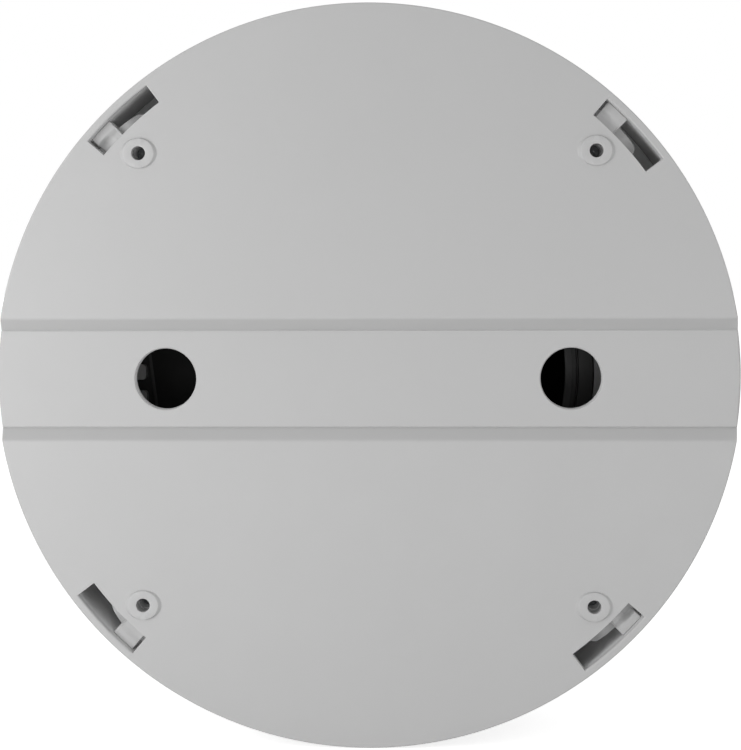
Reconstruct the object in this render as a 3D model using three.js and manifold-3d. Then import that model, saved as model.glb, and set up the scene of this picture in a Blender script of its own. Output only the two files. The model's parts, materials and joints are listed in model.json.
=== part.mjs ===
// Round point smoke detector locked in its mounting base. Millimetres.
// X is to the right and Z is up, as seen from the wall side. Y is the detector's axis:
// the wall is the plane y = 0, and the room lies towards +Y.
import * as THREE from "three";
import { mergeVertices } from "three/addons/utils/BufferGeometryUtils.js";
import Module from "manifold-3d";

const wasm = await Module();
wasm.setup();

// Clearances
const GAP = 0.3; // between neighbours that don't touch
const SEAM = 0.4; // joint line between base and head
const RUN = 0.22; // running clearance of a bayonet foot in its slot
const PAST = 1; // how far a cutting solid reaches past what it cuts
const BITE = 0.5; // how far a joined feature is sunk in what carries it

// Mounting base
const BODY_R = 60;
const RIM_ROUND = 0.5;
const BOSS_RISE = 0.5; // the bosses hold the back face this far off the wall
const PLATE = 2.6;
const SKIRT = 1.42;
const BASE_DEPTH = 15.5;
const CHANNEL_FLOOR = 15.85;
const CHANNEL_DEPTH = 2.0;
const CHANNEL_SLOPE = 1.9; // width of each sloping side
const CHANNEL_SHOULDER = 0.7; // radius along the channel's upper edges
const ENTRY_D = 9.8;
const ENTRY_X = 32.7;
const ENTRY_LEAD = 0.25; // lead-in at the entry's mouth
const ENTRY_LAND = 1.4; // straight part of the entry, which flares past it
const RIB_W = 1.2;
const RIB_RISE = 2.0;
const RIB_ANGLES = [70, 110, 250, 290];

// Terminals
const TERMINAL_INSET = 3.9; // from a slot's inner edge to the terminal's centre
const BOSS_D = 4.7;
const BOSS_FOOT = 0.65; // width of the boss's sloping foot
const PILOT_D = 2.2;
const TERMINAL_BOSS = 4.9; // boss height inside the base
const TERMINAL_BOSS_D = 6.0;
const LEAF_T = 0.6;
const LEAF_W = 5.0;
const LEAF_TAIL = 0.6; // leaf past the clamp's near edge
const LEAF_FOOT = 1.0; // leaf past the clamp's far edge
const LEAF_BEND = 0.8;
const LEAF_RUN = 3.6; // length of the rising part
const LEAF_PAD = 1.4; // length of the crest
const LEAF_RISE = 6.0; // seat to the crest that the head's contact rests on
const CLAMP = 6.0;
const CLAMP_T = 0.8;
const SCREW_HEAD_D = 5.6;
const SCREW_HEAD_H = 2.2;
const SCREW_POINT = 0.5;
const SCREW_SHORT = 1.3; // from the plate's inside to the screw's tip

// Bayonet, angles in degrees counterclockwise from each diagonal, seen from the wall
const SLOT_W = 3.25;
const SLOT_END = 4.35;
const SLOT_START = -8.33;
const SLOT_MOUTH = 0.55; // rounding of the slot's outer edge
const FOOT_START = -0.2;
const FOOT_END = 3.9;
const FOOT_SINK = 1.5;
const FOOT_T = 1.8;
const FOOT_CORNER = 0.7;
const ARM_T = 1.9;
const ARM_START = -5.1;
const ARM_END = 5.4;
const ARM_CORNER = 1.8;
const ARM_GAP = 0.4; // arm to the inside of the back plate
const ARM_TO_WALL = 1.68; // arm to the inside of the skirt
const LEDGE_T = 2.0;

// Head chassis
const FLOOR_SINK = 4.1; // rim edge to the chassis floor
const FLOOR_T = 2.0;
const RIM_W = 1.8;
const RIM_H = 7.6;
const RIM_CHAMFER = 0.4;
const RING_OVERLAP = 1.6; // how far the arms' ring reaches into the base
const RING_LIP = 1.2; // lip at the ring's end that centres the head in the skirt
const WINDOW_W = 3.4; // opening beside the rear cover, with two tabs left in it
const WINDOW_EDGES = [-7.5, 4.2];
const TAB_EDGES = [
  [-1.3, 1.4],
  [-5.9, -3.15],
];
const TAB_ROUND = 0.6;

// Head contacts
const CONTACT_W = 4.0;
const CONTACT_AHEAD = 1.95; // contact's upright past the middle of the leaf's crest
const CONTACT_PAD = 5.0;
const CONTACT_LIP = 0.8;
const CONTACT_BEND = 0.6;
const CONTACT_FOOT = 3.8;

// Rear cover
const COVER_TO_POST = 2.0;
const COVER_FLANGE = 3.0;
const COVER_T = 1.5;
const COVER_SINK = 0.5;
const BAND_W = 5.05;
const BAND_RISE = 1.6;
const BAND_SPLIT = 2.8; // from the cover's edge to the groove
const GROOVE_W = 0.3;
const GROOVE_DEPTH = 0.8;
const ISLAND_W = 9;
const ISLAND_ANGLES = [150, 228];
const FLAT_ANGLE = 191.4; // flat on the rear cover's edge
const FLAT_SINK = 1.25;

// Board and its components
const BOARD_MARGIN = 3.4; // board's edge to the front cover
const BOARD_T = 1.6;
const RELAY = [8, 8, 12]; // radial, high, along the edge
const RELAY_INSET = 9;
const CAPACITOR_D = 6.3;
const CAPACITOR_H = 8;
const CAPACITOR_BEAD = 0.4;
const CAPACITOR_INSET = 11;
const CHIP = [7, 1.2, 7];
const CHIP_INSET = 13;

// Front cover and turret
const SIDE_DRAFT = 0.5;
const SIDE_H = 6.9;
const SHOULDER_W = 7.0;
const SHOULDER_H = 6.3;
const TONGUE_T = 1.5;
const FACE_W = 23.5; // from the turret to the body's side
const FACE_RISE = 2.0; // rise of the front face from the shoulder to the turret
const WALL = 1.8;
const SHELF_W = 2.5; // shelf under the turret's wall
const TURRET_LIP = 0.8;
const LIP_W = 1.5;
const LIP_FOOT = 0.5;
const TURRET_H = 13;
const CROWN_ROUND = 2.8;
const CROWN_SLOPE = 0.176;
const INLETS = 24;
const INLET_W = 3.8;
const INLET_LOW = 4.6; // turret's foot to the inlets
const INLET_H = 7.2;
const SCREEN_T = 0.3;
const SCREEN_OVER = 0.8; // screen above the inlets

// Optical chamber
const CHAMBER_INSET = 1.3; // from the turret's inside
const CHAMBER_RISE = 1.6; // floor above the front cover's shelf
const VANES = 18;
const VANE_T = 1.2;
const VANE_W = 7.4;
const VANE_BEND = 2.6;
const VANE_INSET = 1.0;
const PEDESTAL_WALL = 2;
const LID_T = 1.2;
const LID_RISE = 0.8;
const OPTICS_D = 5;
const OPTICS_ANGLES = [200, 335];
const HOLDER_L = 10;
const HOLDER_WALL = 1.4;
const HOLDER_INSET = 1.5;
const SIGHT = 3; // square sight hole through each holder
const SIGHT_L = 7;
const LEAD_W = 0.6;
const LEAD_PITCH = 2.54;
const LEAD_SLOT = 4.2;
const EMITTER_L = 5.0;
const PHOTODIODE_L = 4.2;

// Test button, status light and sounder
const FITTING_INSET = 5.5; // board's edge to the button's and the light's centre
const BUTTON_D = 9.0;
const BUTTON_RUN = 0.3;
const BUTTON_TRAVEL = 1.0;
const BUTTON_PROUD = 1.2;
const BUTTON_FLANGE = 1.25;
const BUTTON_FLANGE_T = 1.1;
const BUTTON_STEM_D = 4;
const BUTTON_DISH = 0.35;
const BUTTON_EDGE = 0.8;
const COLLAR_RISE = 1.5; // collar over the front face
const BUTTON_COLLAR = 1.9;
const BUTTON_PAD = 1.4;
const BUTTON_PAD_T = 1.2;
const SWITCH = 6.2;
const SWITCH_H = 4.2;
const SWITCH_WELL = 2.4;
const PLUNGER_D = 3.2;
const PLUNGER_PROUD = 1.2;
const LIGHT_D = 3.6;
const LIGHT_PROUD = 1.3;
const LIGHT_EDGE = 0.9;
const LIGHT_FLANGE = 0.9;
const LIGHT_FLANGE_T = 1.0;
const LED = [3.2, 1.8, 2.8];
const SOUNDER_D = 17;
const SOUNDER_H = 7.5;
const SOUNDER_WALL = 1;
const SOUNDER_PORT_D = 2.4;
const PIEZO_RISE = 2;
const PIEZO_T = 0.4;
const PIEZO_SUPPORT = 1.2;
const SOUND_SLOT_W = 2.0;
const SOUND_SLOT_PITCH = 3.6;
const SOUND_SLOT_HALVES = [6, 8, 6]; // degrees each side of the middle, inner row first

// Fastenings of the head
const POST_INSET = 7; // board's edge to the posts' centres
const POST_D = 6;
const COVER_SCREW_D = 2.4;
const COVER_SCREW_L = 11.8;
const COVER_SCREW_HEAD_D = 5.4;
const COVER_SCREW_HEAD_H = 2.0;

// Sides of circles
const ROUND = 56; // the base's large circles
const HEAD_ROUND = 44; // the head's large circles
const MEDIUM = 28;
const FITTING = 18;
const BOSS_SIDES = 14;
const SMALL = 10;

const DIAGONALS = [45, 135, 225, 315];
const SCREW_ANGLES = [20, 110, 200, 290];

// Levels along Y, from the wall into the room
const backFace = BOSS_RISE;
const plateInside = backFace + PLATE;
const channelFloor = backFace + CHANNEL_DEPTH;
const channelInside = channelFloor + PLATE;
const entryFlare = channelFloor + ENTRY_LEAD + ENTRY_LAND;
const terminalSeat = plateInside + TERMINAL_BOSS;
const clampBack = terminalSeat + LEAF_T + GAP;
const screwSeat = clampBack + CLAMP_T;
const contactCrest = terminalSeat + LEAF_RISE;
const skirtEnd = backFace + BASE_DEPTH;
const headStart = skirtEnd + SEAM;
const floorBack = headStart + FLOOR_SINK;
const floorFront = floorBack + FLOOR_T;
const rimEnd = headStart + RIM_H;
const flangeBack = floorFront + GAP;
const coverFront = flangeBack + COVER_T;
const boardBack = coverFront + GAP;
const boardFront = boardBack + BOARD_T;
const sideStart = rimEnd + GAP;
const sideEnd = sideStart + SIDE_H;
const faceEdge = sideEnd + SHOULDER_H;
const faceTop = faceEdge + FACE_RISE;
const lipTop = faceTop + TURRET_LIP;
const shelfFront = faceTop - WALL - GAP;
const turretFoot = shelfFront + GAP;
const turretEdge = turretFoot + TURRET_H;
const inletLow = turretFoot + INLET_LOW;
const inletHigh = inletLow + INLET_H;
const chamberFloor = shelfFront + CHAMBER_RISE;
const opticsY = (chamberFloor + WALL + inletHigh) / 2;

// Radii
const skirtIn = BODY_R - SKIRT;
const slotIn = skirtIn - SLOT_W;
const terminalR = slotIn - TERMINAL_INSET;
const armOut = skirtIn - ARM_TO_WALL;
const armIn = armOut - ARM_T;
const rimIn = BODY_R - RIM_W;
const tongueOut = rimIn - GAP;
const tongueIn = tongueOut - TONGUE_T;
const boardR = tongueIn - BOARD_MARGIN;
const postR = boardR - POST_INSET;
const fittingR = boardR - FITTING_INSET;
const sounderR = boardR - SOUNDER_D / 2;
const coverFlangeR = postR - POST_D / 2 - COVER_TO_POST;
const coverR = coverFlangeR - COVER_FLANGE;
const floorIn = coverR + GAP;
const turretR = BODY_R - FACE_W;
const turretIn = turretR - WALL;
const lipR = turretR + GAP;
const lipOut = lipR + LIP_W;
const faceOut = BODY_R - SIDE_DRAFT - SHOULDER_W;
const faceIn = lipOut + LIP_FOOT;
const crownR = turretR - CROWN_ROUND;
const chamberR = turretIn - CHAMBER_INSET;
const vaneOut = chamberR - VANE_INSET;
const vaneIn = vaneOut - VANE_W;
const holderOut = vaneIn - HOLDER_INSET;
const holderIn = holderOut - HOLDER_L;
const buttonFlangeR = BUTTON_D / 2 + BUTTON_FLANGE;

const radians = (degrees) => (degrees * Math.PI) / 180;

// A solid turned about the detector's axis, counterclockwise as seen from the wall.
function turned(geometry, degrees) {
  return geometry.rotateY(-radians(degrees));
}

// Points of an arc in a profile's own plane.
function arc(x, y, r, from, to, steps) {
  return Array.from({ length: steps + 1 }, (_, i) => {
    const a = radians(from + ((to - from) * i) / steps);
    return [x + r * Math.cos(a), y + r * Math.sin(a)];
  });
}

// Points of a quarter ellipse from (x + a, y) to (x, y + b).
function quarterEllipse(x, y, a, b, steps) {
  return Array.from({ length: steps + 1 }, (_, i) => {
    const t = (Math.PI / 2) * (i / steps);
    return [x + a * Math.cos(t), y + b * Math.sin(t)];
  });
}

// A closed profile of [radius, y] points turned about the Y axis.
function revolved(profile, sides = ROUND) {
  const points = profile.map(([r, y]) => new THREE.Vector2(r, y));
  const onAxis = profile[0][0] === 0 && profile[profile.length - 1][0] === 0;
  if (!onAxis) points.push(points[0].clone());
  return new THREE.LatheGeometry(points, sides);
}

function disc(r, from, to, sides = SMALL) {
  return new THREE.CylinderGeometry(r, r, to - from, sides).translate(0, (from + to) / 2, 0);
}

function box(x0, x1, y0, y1, z0, z1) {
  const size = [x1 - x0, y1 - y0, z1 - z0];
  const centre = [(x0 + x1) / 2, (y0 + y1) / 2, (z0 + z1) / 2];
  return new THREE.BoxGeometry(...size).translate(...centre);
}

// A shape drawn in X and Z, made solid between two levels of Y.
function slab(shape, from, to, steps = 4) {
  const options = { depth: to - from, bevelEnabled: false, curveSegments: steps };
  return new THREE.ExtrudeGeometry(shape, options).rotateX(Math.PI / 2).translate(0, to, 0);
}

// An outline of [z, y] points, made solid along X.
function bar(outline, from, to) {
  const shape = new THREE.Shape(outline.map(([z, y]) => new THREE.Vector2(-z, y)));
  const options = { depth: to - from, bevelEnabled: false };
  return new THREE.ExtrudeGeometry(shape, options).rotateY(Math.PI / 2).translate(from, 0, 0);
}

// A ring segment in X and Z, with its outer corners rounded by the given radii.
function sector(rIn, rOut, from, to, startCorner = 0, endCorner = 0) {
  const [a, b] = [radians(from), radians(to)];
  const shape = new THREE.Shape();
  const at = (r, angle) => [r * Math.cos(angle), r * Math.sin(angle)];
  shape.moveTo(...at(rIn, a));
  shape.lineTo(...at(rOut - startCorner, a));
  if (startCorner) shape.quadraticCurveTo(...at(rOut, a), ...at(rOut, a + startCorner / rOut));
  shape.absarc(0, 0, rOut, a + startCorner / rOut, b - endCorner / rOut, false);
  if (endCorner) shape.quadraticCurveTo(...at(rOut, b), ...at(rOut - endCorner, b));
  shape.lineTo(...at(rIn, b));
  shape.absarc(0, 0, rIn, b, a, true);
  return shape;
}

// The outline of a strip of metal bent along a path of [z, y] points.
function stripOutline(path, thickness) {
  const half = thickness / 2;
  const side = (sign) =>
    path.map(([z, y], i) => {
      const [before, after] = [path[Math.max(i - 1, 0)], path[Math.min(i + 1, path.length - 1)]];
      const first = i === 0 ? after : [z, y];
      const last = i === path.length - 1 ? before : [z, y];
      const u = new THREE.Vector2(first[0] - before[0], first[1] - before[1]).normalize();
      const v = new THREE.Vector2(after[0] - last[0], after[1] - last[1]).normalize();
      const middle = u.clone().add(v).normalize();
      const reach = (sign * half) / Math.max(middle.dot(v), 0.5);
      return [z - middle.y * reach, y + middle.x * reach];
    });
  return [...side(1), ...side(-1).reverse()];
}

// A closed geometry as a solid for joining and cutting.
function solid(shape) {
  if (!shape.isBufferGeometry) return shape;
  const bare = shape.index ? shape.toNonIndexed() : shape.clone();
  bare.deleteAttribute("normal");
  bare.deleteAttribute("uv");
  const merged = mergeVertices(bare, 1e-4);
  const corners = [];
  for (let i = 0; i < merged.index.count; i += 3) {
    const [a, b, c] = merged.index.array.slice(i, i + 3);
    if (a !== b && b !== c && c !== a) corners.push([a, b, c]);
  }
  const build = (order) =>
    new wasm.Manifold(
      new wasm.Mesh({
        numProp: 3,
        vertProperties: merged.attributes.position.array,
        triVerts: new Uint32Array(corners.flatMap(([a, b, c]) => order(a, b, c))),
      }),
    );
  const made = build((a, b, c) => [a, b, c]);
  return made.volume() < 0 ? build((a, b, c) => [a, c, b]) : made;
}

const joined = (first, ...rest) => rest.reduce((whole, piece) => whole.add(solid(piece)), solid(first));
const cut = (first, ...rest) => rest.reduce((whole, piece) => whole.subtract(solid(piece)), solid(first));
const common = (first, second) => solid(first).intersect(solid(second));

// A finished solid as a geometry with its own normals.
function geometryOf(shape) {
  const mesh = solid(shape).getMesh();
  const stride = mesh.numProp;
  const positions = new Float32Array(mesh.numVert * 3);
  for (let i = 0; i < mesh.numVert; i++) {
    positions.set(mesh.vertProperties.subarray(i * stride, i * stride + 3), i * 3);
  }
  const geometry = new THREE.BufferGeometry();
  geometry.setAttribute("position", new THREE.BufferAttribute(positions, 3));
  geometry.setIndex(new THREE.BufferAttribute(mesh.triVerts, 1));
  geometry.computeVertexNormals();
  return geometry;
}

const finish = (color, roughness, metalness = 0) =>
  new THREE.MeshStandardMaterial({ color, roughness, metalness });
const finishes = {
  lightPlastic: () => finish(0xbebebe, 0.5),
  blackPlastic: () => finish(0x141414, 0.55),
  plated: () => finish(0xc9c4b4, 0.3, 1),
  steel: () => finish(0xb0b2b4, 0.35, 1),
  board: () => finish(0x1f5a36, 0.5),
  lens: () => finish(0xb0181a, 0.15),
  screen: () => finish(0x55585a, 0.4, 1),
  brass: () => finish(0xc8a24a, 0.3, 1),
};

function piece(name, shape, material) {
  const mesh = new THREE.Mesh(geometryOf(shape), material);
  mesh.name = name;
  return mesh;
}

// A group turned to an angle round the detector, counterclockwise as seen from the wall.
function station(degrees, ...children) {
  const group = new THREE.Group();
  group.rotation.y = -radians(degrees);
  group.add(...children);
  return group;
}

// A group moved out from the axis of its station.
function at(x, ...children) {
  const group = new THREE.Group();
  group.position.x = x;
  group.add(...children);
  return group;
}

// Mounting base

function dish() {
  return revolved([
    [0, backFace],
    ...arc(BODY_R - RIM_ROUND, backFace + RIM_ROUND, RIM_ROUND, -90, 0, 3),
    [BODY_R, skirtEnd],
    [skirtIn, skirtEnd],
    [skirtIn, plateInside],
    [0, plateInside],
  ]);
}

// The channel's cross-section, with rounded upper edges, open to the wall.
function channelCut() {
  const slope = Math.atan2(CHANNEL_DEPTH, CHANNEL_SLOPE);
  const tangent = CHANNEL_SHOULDER * Math.tan(slope / 2);
  const edge = CHANNEL_FLOOR / 2 + CHANNEL_SLOPE;
  const turn = (slope * 180) / Math.PI;
  const shoulder = arc(edge + tangent, backFace + CHANNEL_SHOULDER, CHANNEL_SHOULDER, -90, -90 - turn, 3);
  const half = [[edge + tangent, backFace - PAST], ...shoulder, [CHANNEL_FLOOR / 2, channelFloor]];
  const mirrored = half.map(([z, y]) => [-z, y]).reverse();
  return bar([...half, ...mirrored], -BODY_R - PAST, BODY_R + PAST);
}

// The plate's thickness carried on under the channel.
function channelBacking() {
  const lean = PLATE * Math.tan(Math.atan2(CHANNEL_DEPTH, CHANNEL_SLOPE) / 2);
  const foot = CHANNEL_FLOOR / 2 + lean;
  const top = foot + CHANNEL_SLOPE;
  const reach = BODY_R - SKIRT / 2;
  const outline = [
    [-top, plateInside - PLATE / 2],
    [-top, plateInside],
    [-foot, channelInside],
    [foot, channelInside],
    [top, plateInside],
    [top, plateInside - PLATE / 2],
  ];
  return common(bar(outline, -reach, reach), disc(reach, 0, channelInside + PAST, ROUND));
}

// Rounds the rim where the channel runs out of it.
function channelRimCut() {
  const reach = BODY_R + PAST;
  const ring = revolved([
    ...arc(BODY_R - RIM_ROUND, channelFloor + RIM_ROUND, RIM_ROUND, -90, 0, 3),
    [reach, channelFloor + RIM_ROUND],
    [reach, channelFloor - BITE],
    [BODY_R - RIM_ROUND, channelFloor - BITE],
  ]);
  const half = CHANNEL_FLOOR / 2;
  return common(ring, box(-reach - PAST, reach + PAST, 0, skirtEnd, -half, half));
}

function slotCut(diagonal) {
  const mouth = arc(skirtIn + SLOT_MOUTH, backFace + SLOT_MOUTH, SLOT_MOUTH, -90, -180, 2);
  const ring = revolved([
    [slotIn, backFace - PAST],
    [skirtIn + SLOT_MOUTH, backFace - PAST],
    ...mouth,
    [skirtIn, plateInside + PAST],
    [slotIn, plateInside + PAST],
  ]);
  const outline = sector(slotIn - PAST, BODY_R - SKIRT / 3, SLOT_START, SLOT_END);
  const wedge = slab(outline, 0, plateInside + 2 * PAST);
  return common(ring, turned(wedge, diagonal));
}

function ledge(diagonal) {
  const top = backFace + FOOT_SINK + FOOT_T + GAP;
  const shape = sector(armOut + GAP, BODY_R - SKIRT / 2, FOOT_START, FOOT_END);
  return turned(slab(shape, top, top + LEDGE_T), diagonal);
}

function entryCut(x) {
  const r = ENTRY_D / 2;
  const end = channelInside + PAST;
  const profile = [
    [0, channelFloor - PAST],
    [r + ENTRY_LEAD, channelFloor - PAST],
    [r + ENTRY_LEAD, channelFloor],
    [r, channelFloor + ENTRY_LEAD],
    [r, entryFlare],
    [r + end - entryFlare, end],
    [0, end],
  ];
  return revolved(profile, MEDIUM).translate(x, 0, 0);
}

// Each boss stands off the wall outside, and carries a terminal inside.
function boss(diagonal) {
  const r = BOSS_D / 2;
  const profile = [
    [0, 0],
    [r, 0],
    [r + BOSS_FOOT, backFace],
    [TERMINAL_BOSS_D / 2, backFace + PLATE / 2],
    [TERMINAL_BOSS_D / 2, terminalSeat],
    [0, terminalSeat],
  ];
  return turned(revolved(profile, BOSS_SIDES).translate(terminalR, 0, 0), diagonal);
}

function pilotCut(diagonal) {
  return turned(disc(PILOT_D / 2, -PAST, terminalSeat + PAST).translate(terminalR, 0, 0), diagonal);
}

// Low ribs that stiffen the plate round the wiring space.
function stiffener(degrees) {
  const inner = CHANNEL_FLOOR / 2 + CHANNEL_SLOPE + PLATE;
  const rib = box(inner, terminalR, plateInside - BITE, plateInside + RIB_RISE, -RIB_W / 2, RIB_W / 2);
  return turned(rib, degrees);
}

function mountingBase() {
  const body = joined(
    dish(),
    channelBacking(),
    ...DIAGONALS.map(boss),
    ...DIAGONALS.map(ledge),
    ...RIB_ANGLES.map(stiffener),
  );
  return cut(
    body,
    channelCut(),
    channelRimCut(),
    entryCut(-ENTRY_X),
    entryCut(ENTRY_X),
    ...DIAGONALS.map(pilotCut),
    ...DIAGONALS.map(slotCut),
  );
}

// Terminals. In a station X is radial and Z runs counterclockwise.

// A pan-head screw whose head sits at the given level and faces the room.
function panScrew(headD, headH, shankD, seat, tip) {
  const r = headD / 2;
  const side = 0.6 * headH;
  const crownShare = 0.72;
  const profile = [
    [0, tip],
    [shankD / 2, tip + SCREW_POINT],
    [shankD / 2, seat],
    [r, seat],
    [r, seat + side],
    [r * crownShare, seat + headH],
    [0, seat + headH],
  ];
  return revolved(profile, SMALL);
}

const leafRise = CLAMP / 2 + LEAF_FOOT + LEAF_BEND;
const leafCrest = leafRise + LEAF_RUN + LEAF_BEND;

function contactLeaf() {
  const half = LEAF_T / 2;
  const seat = terminalSeat + half;
  const crest = contactCrest - half;
  const path = [
    [-CLAMP / 2 - LEAF_TAIL, seat],
    [leafRise - LEAF_BEND, seat],
    [leafRise, seat + LEAF_BEND],
    [leafRise + LEAF_RUN, crest - LEAF_BEND],
    [leafCrest, crest],
    [leafCrest + LEAF_PAD, crest],
    [leafCrest + LEAF_PAD + LEAF_BEND, crest - LEAF_BEND],
  ];
  const leaf = bar(stripOutline(path, LEAF_T), -LEAF_W / 2, LEAF_W / 2);
  return cut(leaf, disc(PILOT_D / 2, terminalSeat - PAST, terminalSeat + LEAF_T + PAST));
}

function wireClamp() {
  const half = CLAMP / 2;
  const plate = box(-half, half, clampBack, screwSeat, -half, half);
  return cut(plate, disc(PILOT_D / 2, clampBack - PAST, screwSeat + PAST));
}

function terminal(degrees, i) {
  const shank = PILOT_D - 2 * GAP;
  const screw = panScrew(SCREW_HEAD_D, SCREW_HEAD_H, shank, screwSeat, plateInside + SCREW_SHORT);
  return station(
    degrees,
    at(
      terminalR,
      piece(`terminal_leaf_${i + 1}`, contactLeaf(), finishes.plated()),
      piece(`wire_clamp_${i + 1}`, wireClamp(), finishes.plated()),
      piece(`terminal_screw_${i + 1}`, screw, finishes.steel()),
    ),
  );
}

// Head chassis: rim, floor and the four bayonet arms.

function chassisRing() {
  const ringTop = skirtEnd - RING_OVERLAP;
  const profile = [
    [floorIn, floorBack],
    [armIn, floorBack],
    [armIn, ringTop],
    [skirtIn - GAP, ringTop],
    [skirtIn - GAP, ringTop + RING_LIP],
    [armOut, ringTop + RING_LIP],
    [armOut, floorBack],
    [rimIn, floorBack],
    [rimIn, headStart],
    [BODY_R - RIM_CHAMFER, headStart],
    [BODY_R, headStart + RIM_CHAMFER],
    [BODY_R, rimEnd],
    [rimIn, rimEnd],
    [rimIn, floorFront],
    [floorIn, floorFront],
  ];
  return revolved(profile, HEAD_ROUND);
}

function bayonetArm(degrees) {
  const armTop = plateInside + ARM_GAP;
  const footTop = backFace + FOOT_SINK;
  const armShape = sector(armIn, armOut, ARM_START, ARM_END, ARM_CORNER);
  const arm = slab(armShape, armTop, floorBack + BITE);
  const footShape = sector(slotIn + RUN, skirtIn - RUN, FOOT_START, FOOT_END, 0, FOOT_CORNER);
  const foot = slab(footShape, footTop, footTop + FOOT_T);
  return turned(geometryOf(joined(arm, foot)), degrees);
}

function standoff(degrees) {
  return turned(disc(POST_D / 2, floorFront - BITE, coverFront).translate(postR, 0, 0), degrees);
}

function screwWay(degrees, from, to) {
  const r = COVER_SCREW_D / 2 + GAP;
  return turned(disc(r, from, to).translate(postR, 0, 0), degrees);
}

// A tab with rounded corners, reaching in from beyond the window to its inner edge.
function windowTab([low, high]) {
  const outer = -floorIn - WINDOW_W - PAST;
  const edge = -floorIn;
  const tab = new THREE.Shape();
  tab.moveTo(outer, low);
  tab.lineTo(edge - TAB_ROUND, low);
  tab.quadraticCurveTo(edge, low, edge, low + TAB_ROUND);
  tab.lineTo(edge, high - TAB_ROUND);
  tab.quadraticCurveTo(edge, high, edge - TAB_ROUND, high);
  tab.lineTo(outer, high);
  return slab(tab, floorBack, floorFront, 3);
}

// The opening beside the rear cover, less its two tabs.
function tabWindow() {
  const [low, high] = WINDOW_EDGES;
  const window = box(-floorIn - WINDOW_W, PAST - floorIn, floorBack - PAST, floorFront + PAST, low, high);
  return cut(window, ...TAB_EDGES.map(windowTab));
}

function chassis() {
  return cut(
    joined(chassisRing(), ...DIAGONALS.map(bayonetArm), ...SCREW_ANGLES.map(standoff)),
    ...SCREW_ANGLES.map((a) => screwWay(a, floorBack - PAST, coverFront + PAST)),
    tabWindow(),
  );
}

// Head contacts: each rests on a terminal leaf when the head is locked.
function headContact() {
  const half = LEAF_T / 2;
  const pad = contactCrest + GAP + half;
  const foot = floorBack - half;
  const upright = CONTACT_PAD / 2;
  const path = [
    [-upright - CONTACT_LIP, pad + CONTACT_LIP],
    [-upright, pad],
    [upright - CONTACT_BEND, pad],
    [upright, pad + CONTACT_BEND],
    [upright, foot - CONTACT_BEND],
    [upright + CONTACT_BEND, foot],
    [upright + CONTACT_FOOT, foot],
  ];
  return bar(stripOutline(path, LEAF_T), -CONTACT_W / 2, CONTACT_W / 2);
}

const contactTurn = ((leafCrest + LEAF_PAD / 2 + CONTACT_AHEAD) / terminalR) * (180 / Math.PI);

// Rear cover of the electronics

function rearCover() {
  const back = floorBack + COVER_SINK;
  const bandIn = coverR - BAND_W;
  const groove = coverR - BAND_SPLIT;
  const profile = [
    [0, back + BAND_RISE],
    [bandIn, back + BAND_RISE],
    [bandIn, back],
    [groove - GROOVE_W / 2, back],
    [groove - GROOVE_W / 2, back + GROOVE_DEPTH],
    [groove + GROOVE_W / 2, back + GROOVE_DEPTH],
    [groove + GROOVE_W / 2, back],
    [coverR, back],
    [coverR, flangeBack],
    [coverFlangeR, flangeBack],
    [coverFlangeR, coverFront],
    [0, coverFront],
  ];
  const flatR = coverR - FLAT_SINK;
  const island = slab(sector(bandIn - ISLAND_W, flatR - GAP, ...ISLAND_ANGLES), back, back + BAND_RISE + BITE);
  const flat = box(flatR, coverR + PAST, floorBack - PAST, flangeBack, -coverR / 2, coverR / 2);
  return cut(joined(revolved(profile, MEDIUM), island), turned(flat, FLAT_ANGLE));
}

// Circuit board with its components

function board() {
  const outline = disc(boardR, boardBack, boardFront, MEDIUM);
  return cut(outline, ...SCREW_ANGLES.map((a) => screwWay(a, boardBack - PAST, boardFront + PAST)));
}

// A block standing on the board, centred on its own axis.
function onBoard([wide, high, long]) {
  return box(-wide / 2, wide / 2, boardFront, boardFront + high, -long / 2, long / 2);
}

function capacitor() {
  const r = CAPACITOR_D / 2;
  const top = boardFront + CAPACITOR_H;
  const bead = boardFront + CAPACITOR_BEAD;
  const profile = [
    [0, boardFront],
    [r, boardFront],
    [r, bead],
    [r - CAPACITOR_BEAD / 2, bead + CAPACITOR_BEAD],
    [r, bead + 2 * CAPACITOR_BEAD],
    [r, top - CAPACITOR_BEAD],
    [r - CAPACITOR_BEAD, top],
    [0, top],
  ];
  return revolved(profile, SMALL);
}

// Optical chamber

// One chevron vane of the light trap, drawn at angle 0.
function vane() {
  const mid = (vaneIn + vaneOut) / 2;
  const shape = new THREE.Shape();
  shape.moveTo(vaneIn, 0);
  shape.lineTo(mid, VANE_BEND);
  shape.lineTo(vaneOut, 0);
  shape.lineTo(vaneOut, VANE_T);
  shape.lineTo(mid, VANE_BEND + VANE_T);
  shape.lineTo(vaneIn, VANE_T);
  return slab(shape, chamberFloor + BITE, inletHigh);
}

function opticsHolder(degrees) {
  const half = OPTICS_D / 2 + HOLDER_WALL;
  return turned(box(holderIn, holderOut, chamberFloor + BITE, opticsY + half, -half, half), degrees);
}

// The bore, its sight hole and the slot for the leads.
function opticsWays(degrees) {
  const r = OPTICS_D / 2 + GAP;
  const start = holderIn + HOLDER_WALL;
  const length = holderOut + PAST - start;
  const bore = new THREE.CylinderGeometry(r, r, length, SMALL).rotateZ(Math.PI / 2);
  const back = holderOut - 2 * LEAD_W - BITE;
  const leads = box(back, holderOut + PAST, chamberFloor - PAST, opticsY, -LEAD_SLOT / 2, LEAD_SLOT / 2);
  const half = SIGHT / 2;
  const sight = box(start - SIGHT_L, start + BITE, opticsY - half, opticsY + half, -half, half);
  const ways = [bore.translate(start + length / 2, opticsY, 0), leads, sight];
  return ways.map((way) => turned(way, degrees));
}

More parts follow.
